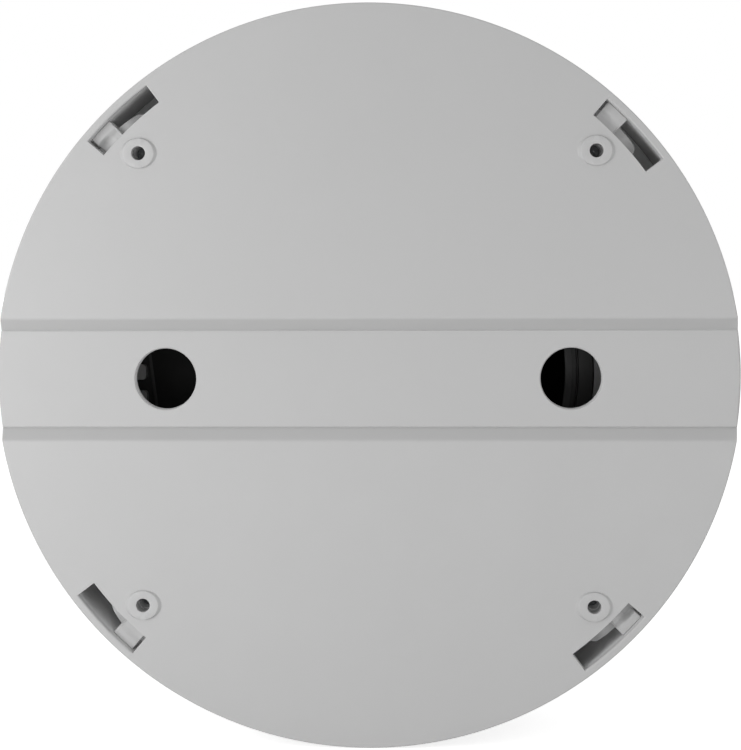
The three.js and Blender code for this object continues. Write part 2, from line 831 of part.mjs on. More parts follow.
function chamberBase() {
  const pedestalOut = vaneIn + PEDESTAL_WALL / 2;
  const pedestalIn = pedestalOut - PEDESTAL_WALL;
  const profile = [
    [0, chamberFloor],
    [pedestalIn, chamberFloor],
    [pedestalIn, boardFront + GAP],
    [pedestalOut, boardFront + GAP],
    [pedestalOut, chamberFloor],
    [chamberR, chamberFloor],
    [chamberR, chamberFloor + WALL],
    [0, chamberFloor + WALL],
  ];
  const trap = Array.from({ length: VANES }, (_, i) => turned(vane(), (i * 360) / VANES));
  const body = joined(revolved(profile, MEDIUM), ...trap, ...OPTICS_ANGLES.map(opticsHolder));
  return cut(body, ...OPTICS_ANGLES.flatMap(opticsWays));
}

function chamberLid() {
  const under = inletHigh + GAP;
  const r = chamberR - GAP;
  const profile = [
    [0, under + LID_RISE],
    [vaneIn - 2 * LID_RISE, under + LID_RISE],
    [vaneIn - LID_RISE, under],
    [r, under],
    [r, under + LID_T],
    [0, under + LID_T + LID_RISE / 2],
  ];
  return revolved(profile, MEDIUM);
}

// A lamp or photodiode lying along X, its lens towards the axis and its leads down to the board.
function opticsElement(bodyLength) {
  const r = OPTICS_D / 2;
  const back = holderOut - 1.5 * LEAD_W;
  const lens = arc(0, 0, r, 0, 90, 3).map(([across, along]) => [across, back - bodyLength - along]);
  lens[lens.length - 1][0] = 0;
  const profile = [[0, back], [r, back], ...lens];
  const body = revolved(profile, SMALL).rotateZ(-Math.PI / 2).translate(0, opticsY, 0);
  const lead = (z) => box(back - LEAD_W, back, boardFront, opticsY, z - LEAD_W / 2, z + LEAD_W / 2);
  return joined(body, lead(-LEAD_PITCH / 2), lead(LEAD_PITCH / 2));
}

// Front cover

function coverShell() {
  const shoulder = quarterEllipse(faceOut, sideEnd, SHOULDER_W, SHOULDER_H, 4);
  const inside = quarterEllipse(faceOut, sideEnd, tongueIn - faceOut, SHOULDER_H - WALL, 2);
  const profile = [
    [turretR - SHELF_W, shelfFront - WALL],
    [turretR - SHELF_W, shelfFront],
    [lipR, shelfFront],
    [lipR, lipTop],
    [lipOut, lipTop],
    [faceIn, faceTop],
    ...shoulder.reverse(),
    [BODY_R, sideStart],
    [tongueOut, sideStart],
    [tongueOut, floorFront + GAP],
    [tongueIn, floorFront + GAP],
    ...inside,
    [faceIn, faceTop - WALL],
  ];
  return revolved(profile, HEAD_ROUND);
}

// Level of the front face at a radius.
function faceAt(r) {
  return faceEdge + (FACE_RISE * (faceOut - r)) / (faceOut - faceIn);
}

const fittingFace = faceAt(fittingR);
const buttonSeat = fittingFace - WALL; // inner face that keeps the button's flange
const collarTop = fittingFace + COLLAR_RISE;

function buttonCollar() {
  const collar = BUTTON_D / 2 + BUTTON_RUN + BUTTON_COLLAR;
  const pad = buttonFlangeR + BUTTON_RUN + BUTTON_PAD;
  return joined(
    disc(collar, buttonSeat, collarTop, FITTING),
    disc(pad, buttonSeat - BUTTON_PAD_T, fittingFace - WALL / 2, FITTING),
  ).translate(fittingR, 0, 0);
}

function buttonWay() {
  const start = buttonSeat - BUTTON_PAD_T - PAST;
  return joined(
    disc(BUTTON_D / 2 + BUTTON_RUN, start, collarTop + PAST, FITTING),
    disc(buttonFlangeR + BUTTON_RUN, start, buttonSeat, FITTING),
  ).translate(fittingR, 0, 0);
}

function coverPost(degrees) {
  const post = disc(POST_D / 2, boardFront + GAP, faceAt(postR) - WALL / 2);
  return turned(post.translate(postR, 0, 0), degrees);
}

// Curved slots over the sounder.
function soundSlots() {
  return SOUND_SLOT_HALVES.map((half, row) => {
    const r = sounderR + (row - 1) * SOUND_SLOT_PITCH;
    const outline = sector(r - SOUND_SLOT_W / 2, r + SOUND_SLOT_W / 2, -half, half);
    return slab(outline, faceEdge - 2 * WALL, lipTop + PAST);
  });
}

function frontCover() {
  const body = joined(
    coverShell(),
    turned(geometryOf(buttonCollar()), 270),
    ...SCREW_ANGLES.map(coverPost),
  );
  const lightWay = disc(LIGHT_D / 2 + GAP, boardFront, lipTop + PAST).translate(fittingR, 0, 0);
  return cut(
    body,
    turned(geometryOf(buttonWay()), 270),
    turned(lightWay, 90),
    ...SCREW_ANGLES.map((a) => screwWay(a, boardFront - PAST, faceEdge - 2 * WALL)),
    ...soundSlots(),
  );
}

// Turret cap with the smoke inlets

// Points of the domed top from a radius to the axis, sunk by an offset.
function crown(offset, radius, steps) {
  const top = turretEdge + CROWN_ROUND + (CROWN_SLOPE * crownR) / 2 - offset;
  return Array.from({ length: steps + 1 }, (_, i) => {
    const r = radius * (1 - i / steps);
    return [r, top - (CROWN_SLOPE / (2 * crownR)) * r * r];
  });
}

function turretShell() {
  const profile = [
    ...crown(WALL, turretIn - CROWN_ROUND + BITE, 2).reverse(),
    [turretIn, turretEdge - BITE],
    [turretIn, turretFoot],
    [turretR, turretFoot],
    ...arc(crownR, turretEdge, CROWN_ROUND, 0, 75, 3),
    ...crown(0, crownR - BITE, 3),
  ];
  return revolved(profile, INLETS * 2);
}

function inletCut(i) {
  const half = INLET_W / 2;
  const opening = box(turretIn - PAST, turretR + PAST, inletLow, inletHigh, -half, half);
  return turned(opening, (i * 360) / INLETS);
}

function turretCap() {
  return cut(turretShell(), ...Array.from({ length: INLETS }, (_, i) => inletCut(i)));
}

function insectScreen() {
  const outer = turretIn - GAP;
  const top = inletHigh + SCREEN_OVER;
  const profile = [
    [outer - SCREEN_T, turretFoot],
    [outer, turretFoot],
    [outer, top],
    [outer - SCREEN_T, top],
  ];
  return revolved(profile, MEDIUM);
}

// Test button and its switch, drawn on their own axis

const switchTop = boardFront + SWITCH_H;
const switchWell = switchTop - SWITCH_WELL;
const plungerTop = switchTop + PLUNGER_PROUD;

function testButton() {
  const r = BUTTON_D / 2;
  const top = collarTop + BUTTON_PROUD;
  const flangeTop = buttonSeat - GAP;
  const profile = [
    [0, plungerTop + GAP],
    [BUTTON_STEM_D / 2, plungerTop + GAP],
    [BUTTON_STEM_D / 2, flangeTop - BUTTON_FLANGE_T],
    [buttonFlangeR, flangeTop - BUTTON_FLANGE_T],
    [buttonFlangeR, flangeTop],
    [r, flangeTop],
    [r, top - BUTTON_EDGE],
    [r - BUTTON_EDGE / 3, top - BUTTON_EDGE / 3],
    [r - BUTTON_EDGE, top],
    [r / 2, top - BUTTON_DISH * 0.75],
    [0, top - BUTTON_DISH],
  ];
  return revolved(profile, FITTING);
}

function switchBody() {
  const well = disc(PLUNGER_D / 2 + GAP, switchWell, switchTop + PAST);
  return cut(onBoard([SWITCH, SWITCH_H, SWITCH]), well);
}

function switchPlunger() {
  return disc(PLUNGER_D / 2, switchWell + BUTTON_TRAVEL + GAP, plungerTop);
}

function lightPipe() {
  const r = LIGHT_D / 2;
  const top = fittingFace + LIGHT_PROUD;
  const flangeTop = fittingFace - WALL - 2 * GAP;
  const profile = [
    [0, boardFront + LED[1] + GAP],
    [r, boardFront + LED[1] + GAP],
    [r, flangeTop - LIGHT_FLANGE_T],
    [r + LIGHT_FLANGE, flangeTop - LIGHT_FLANGE_T],
    [r + LIGHT_FLANGE, flangeTop],
    [r, flangeTop],
    [r, top - LIGHT_EDGE],
    [r - LIGHT_EDGE / 3, top - LIGHT_EDGE / 3],
    [r - LIGHT_EDGE, top],
    [0, top + LIGHT_EDGE / 6],
  ];
  return revolved(profile, SMALL);
}

function sounderCase() {
  const r = SOUNDER_D / 2;
  const inner = r - SOUNDER_WALL;
  const top = boardFront + SOUNDER_H;
  const profile = [
    [inner, boardFront],
    [r, boardFront],
    [r, top - SOUNDER_WALL / 2],
    [r - SOUNDER_WALL / 2, top],
    [SOUNDER_PORT_D / 2, top],
    [SOUNDER_PORT_D / 2, top - SOUNDER_WALL],
    [inner, top - SOUNDER_WALL],
  ];
  return revolved(profile, FITTING);
}

const piezoR = SOUNDER_D / 2 - SOUNDER_WALL - GAP;
const piezoBack = boardFront + PIEZO_RISE;

function piezoDisc() {
  return disc(piezoR, piezoBack, piezoBack + PIEZO_T, FITTING);
}

function piezoSupport() {
  const profile = [
    [piezoR - PIEZO_SUPPORT, boardFront],
    [piezoR, boardFront],
    [piezoR, piezoBack - GAP],
    [piezoR - PIEZO_SUPPORT, piezoBack - GAP],
  ];
  return revolved(profile, FITTING);
}

// Assembly

const base = new THREE.Group();
base.add(piece("mounting_base", mountingBase(), finishes.lightPlastic()));
base.add(...DIAGONALS.map(terminal));

function coverScrew(degrees, i) {
  const shape = panScrew(COVER_SCREW_HEAD_D, COVER_SCREW_HEAD_H, COVER_SCREW_D, 0, -COVER_SCREW_L);
  const screw = piece(`cover_screw_${i + 1}`, shape, finishes.steel());
  screw.rotation.x = Math.PI;
  screw.position.y = floorBack;
  return station(degrees, at(postR, screw));
}

function contact(degrees, i) {
  const shape = piece(`head_contact_${i + 1}`, headContact(), finishes.plated());
  return station(degrees + contactTurn, at(terminalR, shape));
}

const chip = piece("control_chip", onBoard(CHIP), finishes.blackPlastic());
const sounder = [
  piece("sounder_case", sounderCase(), finishes.blackPlastic()),
  piece("piezo_disc", piezoDisc(), finishes.brass()),
  piece("piezo_support", piezoSupport(), finishes.blackPlastic()),
];
const statusLight = [
  piece("status_light_pipe", lightPipe(), finishes.lens()),
  piece("status_led", onBoard(LED), finishes.lens()),
];

const head = new THREE.Group();
head.add(
  piece("head_chassis", chassis(), finishes.lightPlastic()),
  piece("rear_cover", rearCover(), finishes.blackPlastic()),
  piece("circuit_board", board(), finishes.board()),
  piece("chamber_base", chamberBase(), finishes.blackPlastic()),
  piece("chamber_lid", chamberLid(), finishes.blackPlastic()),
  piece("front_cover", frontCover(), finishes.lightPlastic()),
  piece("turret_cap", turretCap(), finishes.lightPlastic()),
  piece("insect_screen", insectScreen(), finishes.screen()),
  station(OPTICS_ANGLES[0], piece("infrared_emitter", opticsElement(EMITTER_L), finishes.lens())),
  station(OPTICS_ANGLES[1], piece("photodiode", opticsElement(PHOTODIODE_L), finishes.blackPlastic())),
  ...DIAGONALS.map(contact),
  ...SCREW_ANGLES.map(coverScrew),
  station(180, at(boardR - RELAY_INSET, piece("alarm_relay", onBoard(RELAY), finishes.blackPlastic()))),
  station(60, at(boardR - CAPACITOR_INSET, piece("buffer_capacitor", capacitor(), finishes.steel()))),
  station(240, at(boardR - CHIP_INSET, chip)),
  station(0, at(sounderR, ...sounder)),
  station(90, at(fittingR, ...statusLight)),
  station(270, at(fittingR, piece("test_switch", switchBody(), finishes.blackPlastic()))),
);

const button = station(
  270,
  at(
    fittingR,
    piece("test_button", testButton(), finishes.lightPlastic()),
    piece("switch_plunger", switchPlunger(), finishes.blackPlastic()),
  ),
);

const detector = new THREE.Group();
detector.add(base, head, button);
export default detector;
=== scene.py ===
import json
import math

import bpy
from mathutils import Matrix, Vector


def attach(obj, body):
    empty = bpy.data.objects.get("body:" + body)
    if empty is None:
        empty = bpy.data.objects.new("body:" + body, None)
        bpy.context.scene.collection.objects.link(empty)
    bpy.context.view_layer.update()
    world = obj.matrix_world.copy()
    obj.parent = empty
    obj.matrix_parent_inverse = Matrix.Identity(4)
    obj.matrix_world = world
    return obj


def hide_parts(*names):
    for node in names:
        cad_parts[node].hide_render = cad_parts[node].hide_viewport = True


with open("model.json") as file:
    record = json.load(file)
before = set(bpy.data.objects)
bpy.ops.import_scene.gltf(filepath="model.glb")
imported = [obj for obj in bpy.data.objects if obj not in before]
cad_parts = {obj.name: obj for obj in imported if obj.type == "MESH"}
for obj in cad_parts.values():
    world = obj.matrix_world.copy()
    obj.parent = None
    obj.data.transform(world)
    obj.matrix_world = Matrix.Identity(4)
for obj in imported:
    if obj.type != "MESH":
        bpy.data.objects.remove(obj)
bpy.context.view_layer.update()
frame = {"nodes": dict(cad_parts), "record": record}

# Round point smoke detector, seen from the wall side. Lengths below are millimetres.
# X is to the right, Z is up, and Y runs from the wall into the room.
MM = 0.001
DIAGONALS = (45, 135, 225, 315)
SCREW_ANGLES = (20, 110, 200, 290)

# Levels along Y
BACK = 0.5
PLATE_IN = 3.1
CHANNEL = 2.5
ENTRY_FLARE = 4.5
PLATE_DEEP = 5.1
SEAT = 8.0
SKIRT_END = 16.0
HEAD_START = 16.4
FLOOR_BACK = 20.5
FLOOR_FRONT = 22.5
RIM_END = 24.0
SHOULDER = 31.2
FACE_EDGE = 37.5
FACE_TOP = 39.5

# Radii
BODY = 60.0
PLATE = 59.87  # the skirt has a little draft
RIM = 0.25
PLATE_OUT = 59.29  # where ledges and backing end inside the skirt
SKIRT_IN = 58.58
SLOT_IN = 55.28
ENTRY = 4.93
PILOT = 1.1
SCREW_WAY = 1.5
POST_SIZE = 3.0
HEAD_IN = 58.2
ARM_IN = 55.0
COVER_IN = 37.84
FACE_OUT = 52.5
FACE_IN = 38.8
TURRET = 36.5

# Distances of middles from the axis
TERMINAL = 51.43
POST = 46.0
FITTING = 47.5
SOUNDER = 44.5
SOUND_ROW_PITCH = 3.6

# Middles of the cable entries (x, z)
ENTRIES = ((-32.65, 0.02), (32.8, 0.06))

# Ends of the slots, in degrees from their diagonals
SLOT_START, SLOT_END = -8.33, 4.35

SIDES = 256


# Shapes

def made(name, points, faces):
    """A mesh from points in millimetres, its faces turned outwards."""
    mesh = bpy.data.meshes.new(name)
    mesh.from_pydata([(x * MM, y * MM, z * MM) for x, y, z in points], [], faces)
    if volume(mesh) < 0:
        mesh.flip_normals()
    mesh.update()
    piece = bpy.data.objects.new(name, mesh)
    bpy.context.scene.collection.objects.link(piece)
    return piece


def volume(mesh):
    mesh.calc_loop_triangles()
    at = [v.co for v in mesh.vertices]
    return sum(at[a].dot(at[b].cross(at[c])) for a, b, c in (t.vertices for t in mesh.loop_triangles))


def rounded(corners, steps=6, closed=False):
    """The corners (u, v) or (u, v, radius) of an outline, with each radius drawn as an arc."""
    out = []
    count = len(corners)
    for i, corner in enumerate(corners):
        here = Vector(corner[:2])
        if len(corner) < 3 or (not closed and i in (0, count - 1)):
            out.append(tuple(here))
            continue
        before = Vector(corners[i - 1][:2]) - here
        after = Vector(corners[(i + 1) % count][:2]) - here
        u, v = before.normalized(), after.normalized()
        half = math.acos(max(-1, min(1, u.dot(v)))) / 2
        reach = min(corner[2] / math.tan(half), 0.48 * before.length, 0.48 * after.length)
        centre = here + (u + v).normalized() * (reach / math.cos(half))
        start, end = here + u * reach - centre, here + v * reach - centre
        turn = math.atan2(start.x * end.y - start.y * end.x, start.dot(end))
        for k in range(steps + 1):
            a = turn * k / steps
            x = start.x * math.cos(a) - start.y * math.sin(a)
            y = start.x * math.sin(a) + start.y * math.cos(a)
            out.append((centre.x + x, centre.y + y))
    return out


def revolved(name, profile, sides=SIDES, closed=False):
    """Points (radius, y) turned about the Y axis. An open profile starts and ends on the axis."""
    points, rows = [], []
    for r, y in profile:
        if r < 1e-9:
            rows.append([len(points)] * sides)
            points.append((0, y, 0))
            continue
        rows.append(list(range(len(points), len(points) + sides)))
        for k in range(sides):
            a = math.tau * k / sides
            points.append((r * math.cos(a), y, r * math.sin(a)))
    if closed:
        rows.append(rows[0])
    faces = []
    for low, high in zip(rows, rows[1:]):
        for k in range(sides):
            m = (k + 1) % sides
            corners = [low[k], low[m], high[m], high[k]]
            face = [c for i, c in enumerate(corners) if c != corners[i - 1]]
            if len(set(face)) > 2:
                faces.append(face)
    return made(name, points, faces)


def lofted(name, rings):
    """Rings of as many points each, joined in order and capped at both ends."""
    count = len(rings[0])
    points = [p for ring in rings for p in ring]
    faces = [list(range(count)), list(range(len(points) - count, len(points)))[::-1]]
    for i in range(len(rings) - 1):
        low, high = i * count, (i + 1) * count
        for k in range(count):
            m = (k + 1) % count
            faces.append([low + m, low + k, high + k, high + m])
    return made(name, points, faces)


def prism(name, outline, low, high):
    """An outline in X and Z made solid between two levels of Y."""
    return lofted(name, [[(x, y, z) for x, z in outline] for y in (low, high)])


def blockish(name, size, centre):
    """A box of six faces, to be softened or used as a cutter."""
    (a, b, c), (x, y, z) = [s / 2 for s in size], centre
    outline = [(x - a, z - c), (x + a, z - c), (x + a, z + c), (x - a, z + c)]
    return prism(name, outline, y - b, y + b)


def field(name, columns, rows, under, over):
    """A solid between two surfaces over a grid. Each gives a point for a column and a row."""
    wide, deep = len(columns), len(rows)
    points = [surface(c, r) for surface in (under, over) for r in rows for c in columns]
    level = wide * deep
    at = lambda i, j, top: top * level + j * wide + i
    faces = []
    for j in range(deep - 1):
        for i in range(wide - 1):
            faces.append([at(i, j, 0), at(i + 1, j, 0), at(i + 1, j + 1, 0), at(i, j + 1, 0)])
            faces.append([at(i, j + 1, 1), at(i + 1, j + 1, 1), at(i + 1, j, 1), at(i, j, 1)])
    for i in range(wide - 1):
        faces.append([at(i, 0, 1), at(i + 1, 0, 1), at(i + 1, 0, 0), at(i, 0, 0)])
        faces.append([at(i, deep - 1, 0), at(i + 1, deep - 1, 0), at(i + 1, deep - 1, 1), at(i, deep - 1, 1)])
    for j in range(deep - 1):
        faces.append([at(0, j, 0), at(0, j + 1, 0), at(0, j + 1, 1), at(0, j, 1)])
        faces.append([at(wide - 1, j, 1), at(wide - 1, j + 1, 1), at(wide - 1, j + 1, 0), at(wide - 1, j, 0)])
    return made(name, points, faces)


def sector(r_in, r_out, start, end, corners=(0, 0, 0, 0), steps=24):
    """A ring segment in X and Z. Corner radii: inner start, outer start, outer end, inner end."""
    inner = [(r_in, start + (end - start) * k / steps) for k in range(steps, -1, -1)]
    outer = [(r_out, start + (end - start) * k / steps) for k in range(steps + 1)]
    polar = [(r * math.cos(math.radians(a)), r * math.sin(math.radians(a))) for r, a in outer + inner]
    marks = {0: corners[1], steps: corners[2], steps + 1: corners[3], 2 * steps + 1: corners[0]}
    return cornered(polar, marks)


def cornered(outline, marks, steps=5):
    """An outline with the corners at the marked places rounded by cutting back along it."""
    out = []
    count = len(outline)
    for i, point in enumerate(outline):
        radius = marks.get(i, 0)
        if not radius:
            near = [m for m, r in marks.items() if r and (Vector(outline[m]) - Vector(point)).length < r]
            if not near:
                out.append(point)
            continue
        here = Vector(point)
        u = (Vector(outline[i - 1]) - here).normalized() * radius
        v = (Vector(outline[(i + 1) % count]) - here).normalized() * radius
        for k in range(steps + 1):
            t = k / steps
            out.append(tuple(here + u * (1 - t) ** 2 + v * t ** 2))
    return out


def turned(piece, degrees, out=0.0):
    """Moves a piece out along X, then round the axis, counterclockwise as seen from the wall."""
    turn = Matrix.Rotation(-math.radians(degrees), 4, "Y")
    piece.data.transform(turn @ Matrix.Translation((out * MM, 0, 0)))
    return piece


def moved(piece, x=0.0, y=0.0, z=0.0):
    piece.data.transform(Matrix.Translation((x * MM, y * MM, z * MM)))
    return piece


def copied(piece, name):
    twin = bpy.data.objects.new(name, piece.data.copy())
    bpy.context.scene.collection.objects.link(twin)
    return twin


def applied(piece):
    graph = bpy.context.evaluated_depsgraph_get()
    mesh = bpy.data.meshes.new_from_object(piece.evaluated_get(graph))
    old = piece.data
    piece.modifiers.clear()
    piece.data = mesh
    mesh.name = piece.name
    bpy.data.meshes.remove(old)
    return piece


def combined(piece, others, operation):
    for other in others:
        step = piece.modifiers.new("join", "BOOLEAN")
        step.object = other
        step.operation = operation
        step.solver = "MANIFOLD"
    applied(piece)
    for other in others:
        mesh = other.data
        bpy.data.objects.remove(other)
        bpy.data.meshes.remove(mesh)
    return piece


def cut(piece, *others):
    return combined(piece, others, "DIFFERENCE")


def joined(piece, *others):
    return combined(piece, others, "UNION")


def softened(piece, width, segments=3, angle=30):
    """Rounds every edge sharper than the angle."""
    step = piece.modifiers.new("round", "BEVEL")
    step.width = width * MM
    step.segments = segments
    step.limit_method = "ANGLE"
    step.angle_limit = math.radians(angle)
    step.harden_normals = False
    return applied(piece)


def shaded(piece, angle=38):
    """Smooth shading with sharp edges kept, and the large faces left truly flat."""
    mesh = piece.data
    mesh.shade_smooth()
    mesh.set_sharp_from_angle(angle=math.radians(angle))
    step = piece.modifiers.new("normals", "WEIGHTED_NORMAL")
    step.keep_sharp = True
    return applied(piece)


def flare(depth, radius):
    """How far a mouth with a rounded edge stands out from its wall at a depth."""
    return radius - math.sqrt(max(0.0, radius ** 2 - max(0.0, radius - depth) ** 2))


def smooth(t):
    """A step from 0 to 1 with soft ends."""
    t = max(0.0, min(1.0, t))
    return t * t * (3 - 2 * t)


def mouth_levels(face, radius, far, steps=6):
    """Levels for a cutter that enters at a face through a rounded edge and ends far inside."""
    arc = [face + radius * (1 - math.cos(math.pi / 2 * k / steps)) for k in range(steps + 1)]
    return [face - 1.0] + arc + [far]


# Materials

# Sockets of a colour Mix node
MIX_A, MIX_B, MIX_RESULT = 6, 7, 2


def principled(mat):
    return mat.node_tree.nodes["Principled BSDF"]


def material(name, colour, roughness, metallic=0.0, grain=0.0, scale=900.0, tint=0.03, coat=0.0):
    """A moulded, plated or painted surface whose colour, gloss and grain vary a little."""
    spread = 0.06
    mat = bpy.data.materials.new(name)
    mat.use_nodes = True
    tree = mat.node_tree
    shader = principled(mat)
    shader.inputs["Metallic"].default_value = metallic
    shader.inputs["Coat Weight"].default_value = coat
    place = tree.nodes.new("ShaderNodeTexCoord")

    def noise(size, detail, rough=0.5):
        node = tree.nodes.new("ShaderNodeTexNoise")
        node.inputs["Scale"].default_value = size
        node.inputs["Detail"].default_value = detail
        node.inputs["Roughness"].default_value = rough
        tree.links.new(place.outputs["Object"], node.inputs["Vector"])
        return node.outputs["Fac"]

    def ranged(source, low, high):
        node = tree.nodes.new("ShaderNodeMapRange")
        node.inputs["From Min"].default_value = 0.3
        node.inputs["From Max"].default_value = 0.7
        node.inputs["To Min"].default_value = low
        node.inputs["To Max"].default_value = high
        tree.links.new(source, node.inputs["Value"])
        return node.outputs["Result"]

    clouds = noise(38.0, 4.0)
    mix = tree.nodes.new("ShaderNodeMix")
    mix.data_type = "RGBA"
    mix.inputs[MIX_A].default_value = (*[c * (1 - tint) for c in colour], 1)
    mix.inputs[MIX_B].default_value = (*[min(1.0, c * (1 + tint)) for c in colour], 1)
    tree.links.new(ranged(clouds, 0.0, 1.0), mix.inputs[0])
    tree.links.new(mix.outputs[MIX_RESULT], shader.inputs["Base Color"])
    gloss = ranged(noise(120.0, 3.0), roughness - spread, roughness + spread)
    tree.links.new(gloss, shader.inputs["Roughness"])
    if grain:
        bump = tree.nodes.new("ShaderNodeBump")
        bump.inputs["Strength"].default_value = grain
        bump.inputs["Distance"].default_value = 0.00002
        tree.links.new(noise(scale, 3.0, 0.6), bump.inputs["Height"])
        tree.links.new(bump.outputs["Normal"], shader.inputs["Normal"])
    return mat


def deepened(mat, colour, near, far):
    """Lets a surface's colour change with its distance from the wall, between two levels of Y."""
    tree = mat.node_tree
    shader = principled(mat)
    shown = shader.inputs["Base Color"].links[0].from_socket
    place = tree.nodes.new("ShaderNodeTexCoord")
    split = tree.nodes.new("ShaderNodeSeparateXYZ")
    tree.links.new(place.outputs["Object"], split.inputs[0])
    depth = tree.nodes.new("ShaderNodeMapRange")
    depth.inputs["From Min"].default_value = near * MM
    depth.inputs["From Max"].default_value = far * MM
    tree.links.new(split.outputs["Y"], depth.inputs["Value"])
    mix = tree.nodes.new("ShaderNodeMix")
    mix.data_type = "RGBA"
    mix.inputs[MIX_B].default_value = (*colour, 1)
    tree.links.new(depth.outputs["Result"], mix.inputs[0])
    tree.links.new(shown, mix.inputs[MIX_A])
    tree.links.new(mix.outputs[MIX_RESULT], shader.inputs["Base Color"])
    return mat


def light_grey(name, grey):
    return material(name, (grey,) * 3, 0.42, grain=0.5, scale=2600.0, tint=0.008)


def black(name, grey, roughness, specular, **finish):
    mat = material(name, (grey,) * 3, roughness, **finish)
    principled(mat).inputs["Specular IOR Level"].default_value = specular
    return mat


MOULDED = {"grain": 0.5, "scale": 1800.0}

light_plastic = light_grey("light_plastic", 0.50)
# Inside, painted light: the colour grows lighter deeper in and a faint glow is added, both standing for the
# light that comes through thin pale walls.
painted_glow_plastic = deepened(light_grey("light_plastic_painted_glow", 0.50), (0.85, 0.85, 0.85), 0.6, 2.3)
principled(painted_glow_plastic).inputs["Emission Color"].default_value = (1, 1, 1, 1)
principled(painted_glow_plastic).inputs["Emission Strength"].default_value = 0.006
black_plastic = black("black_plastic", 0.012, 0.48, 0.42, **MOULDED)
# Painted shade: a darker grey for the arms' fronts, which lie deep in the slots.
arm_painted_shade_plastic = light_grey("light_plastic_arm_painted_shade", 0.40)
# Painted light on the rear cover: a lighter black for a painted highlight on its edges, and two darker ones
# for painted shade on its island and in its recess.
painted_highlight_black = black("painted_highlight_black", 0.028, 0.5, 0.5, **MOULDED)
painted_shade_black = black("painted_shade_black", 0.004, 0.55, 0.2, **MOULDED)
painted_shade_matt_black = black("painted_shade_matt_black", 0.002, 0.9, 0.05)
plated_brass = material("plated_brass", (0.62, 0.60, 0.54), 0.3, 1.0, grain=0.3, scale=1500.0)
steel = material("zinc_steel", (0.50, 0.51, 0.52), 0.36, 1.0, grain=0.4, scale=1500.0)
screen_metal = material("screen_wire", (0.20, 0.21, 0.22), 0.42, 1.0, grain=0.3, scale=4000.0)
board_green = material("solder_resist", (0.02, 0.10, 0.04), 0.35, grain=0.3, scale=700.0, coat=0.3)
brass = material("brass_disc", (0.70, 0.50, 0.20), 0.25, 1.0, grain=0.2, scale=900.0)
lens_red = material("red_lens", (0.45, 0.01, 0.01), 0.12, grain=0.1, scale=500.0)
principled(lens_red).inputs["Transmission Weight"].default_value = 0.35

BY_SLOT = {
    "light_plastic": light_plastic,
    "black_plastic": black_plastic,
    "plated_brass": plated_brass,
    "steel": steel,
    "screen": screen_metal,
    "board": board_green,
    "brass": brass,
    "lens": lens_red,
}
SLOT_OF = {part["node"]: part["material_slot"] for part in frame["record"]["subparts"]}
BODY_OF = {node: body for body, nodes in frame["record"]["behaviour"]["bodies"].items() for node in nodes}


def dressed(piece, node, angle=38, others=(), where=None):
    """
    Finishes a piece that stands for a CAD node and moves with that node's body.
    With other materials, where(x, y, z, radius) gives the index of a face's material.
    """
    shaded(piece, angle)
    piece.data.materials.clear()
    piece.data.materials.append(BY_SLOT[SLOT_OF[node]])
    for other in others:
        piece.data.materials.append(other)
    if others:
        for face in piece.data.polygons:
            x, y, z = face.center / MM
            face.material_index = int(where(x, y, z, math.hypot(x, z)))
    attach(piece, BODY_OF[node])
    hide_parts(node)
    return piece


for node, shape in frame["nodes"].items():
    shape.data.materials.clear()
    shape.data.materials.append(BY_SLOT[SLOT_OF[node]])


# Mounting base

def channel_profile(groove):
    """Half of the channel's section as (z, y), from its middle outwards, with a groove in its corner."""
    return rounded([
        (0, CHANNEL),
        (7.72, CHANNEL),
        (7.87, CHANNEL + groove, 0.05),
        (8.02, CHANNEL - 0.08, 0.05),
        (9.8, BACK, 0.75),
        (11.0, BACK),
    ], steps=8)


def rim_drop(r):
    """How far the rounded rim lies behind a face at a radius."""
    over = min(max(r - (PLATE - RIM), 0.0), RIM)
    return RIM - math.sqrt(RIM ** 2 - over ** 2)


def both_halves(lower, upper):
    """A section as (z, y) from its lower to its upper edge, from two that start in the middle."""
    return [(-z, y) for z, y in lower[:0:-1]] + upper


def across(radius, z):
    """Where a circle, of negative radius for its left half, crosses a height."""
    return math.copysign(math.sqrt(radius ** 2 - z ** 2), radius)


def channel_cutter():
    lower_groove, upper_groove, outside = 0.22, 0.14, -1.5
    rows = both_halves(channel_profile(lower_groove), channel_profile(upper_groove))
    edge = [PLATE - RIM + RIM * math.sin(math.pi / 2 * k / 10) for k in range(11)]
    radii = edge[:-1] + [PLATE - 1e-4, BODY + 1.5]
    columns = [-r for r in radii[::-1]] + radii

    def under(column, row):
        return (across(column, row[0]), row[1] + rim_drop(abs(column)), row[0])

    def over(column, row):
        return (across(column, row[0]), outside, row[0])

    return field("channel", columns, rows, under, over)


def channel_backing():
    """What carries the channel's floor on the inside of the plate."""
    half = [(0, PLATE_DEEP), (9.04, PLATE_DEEP), (10.94, PLATE_IN)]
    buried = 2.0

    def under(column, row):
        return (across(column, row[0]), row[1], row[0])

    def over(column, row):
        return (across(column, row[0]), buried, row[0])

    return field("backing", [-PLATE_OUT, PLATE_OUT], both_halves(half, half), under, over)


def slot_cutter(diagonal):
    """Its outer edge is rounded more towards the foot than at the far end."""
    middle = 57
    rings = []
    for y in mouth_levels(BACK, 0.38, PLATE_IN + 2, 9):
        depth = max(0.0, y - BACK)
        edge = flare(depth, 0.07)
        ends = math.degrees(flare(depth, 0.14) / middle)
        start, end = SLOT_START - ends, SLOT_END + ends
        outline = []
        for k in range(49):
            angle = start + (end - start) * k / 48
            mouth = 0.32 + 0.06 * max(0.0, min(1.0, (angle - SLOT_START) / 7.0))
            outline.append((SKIRT_IN + flare(depth, mouth), angle))
        outline += [(SLOT_IN - edge, end - (end - start) * k / 24) for k in range(25)]
        rings.append([(r * math.cos(math.radians(a)), y, r * math.sin(math.radians(a))) for r, a in outline])
    return turned(lofted("slot", rings), diagonal)


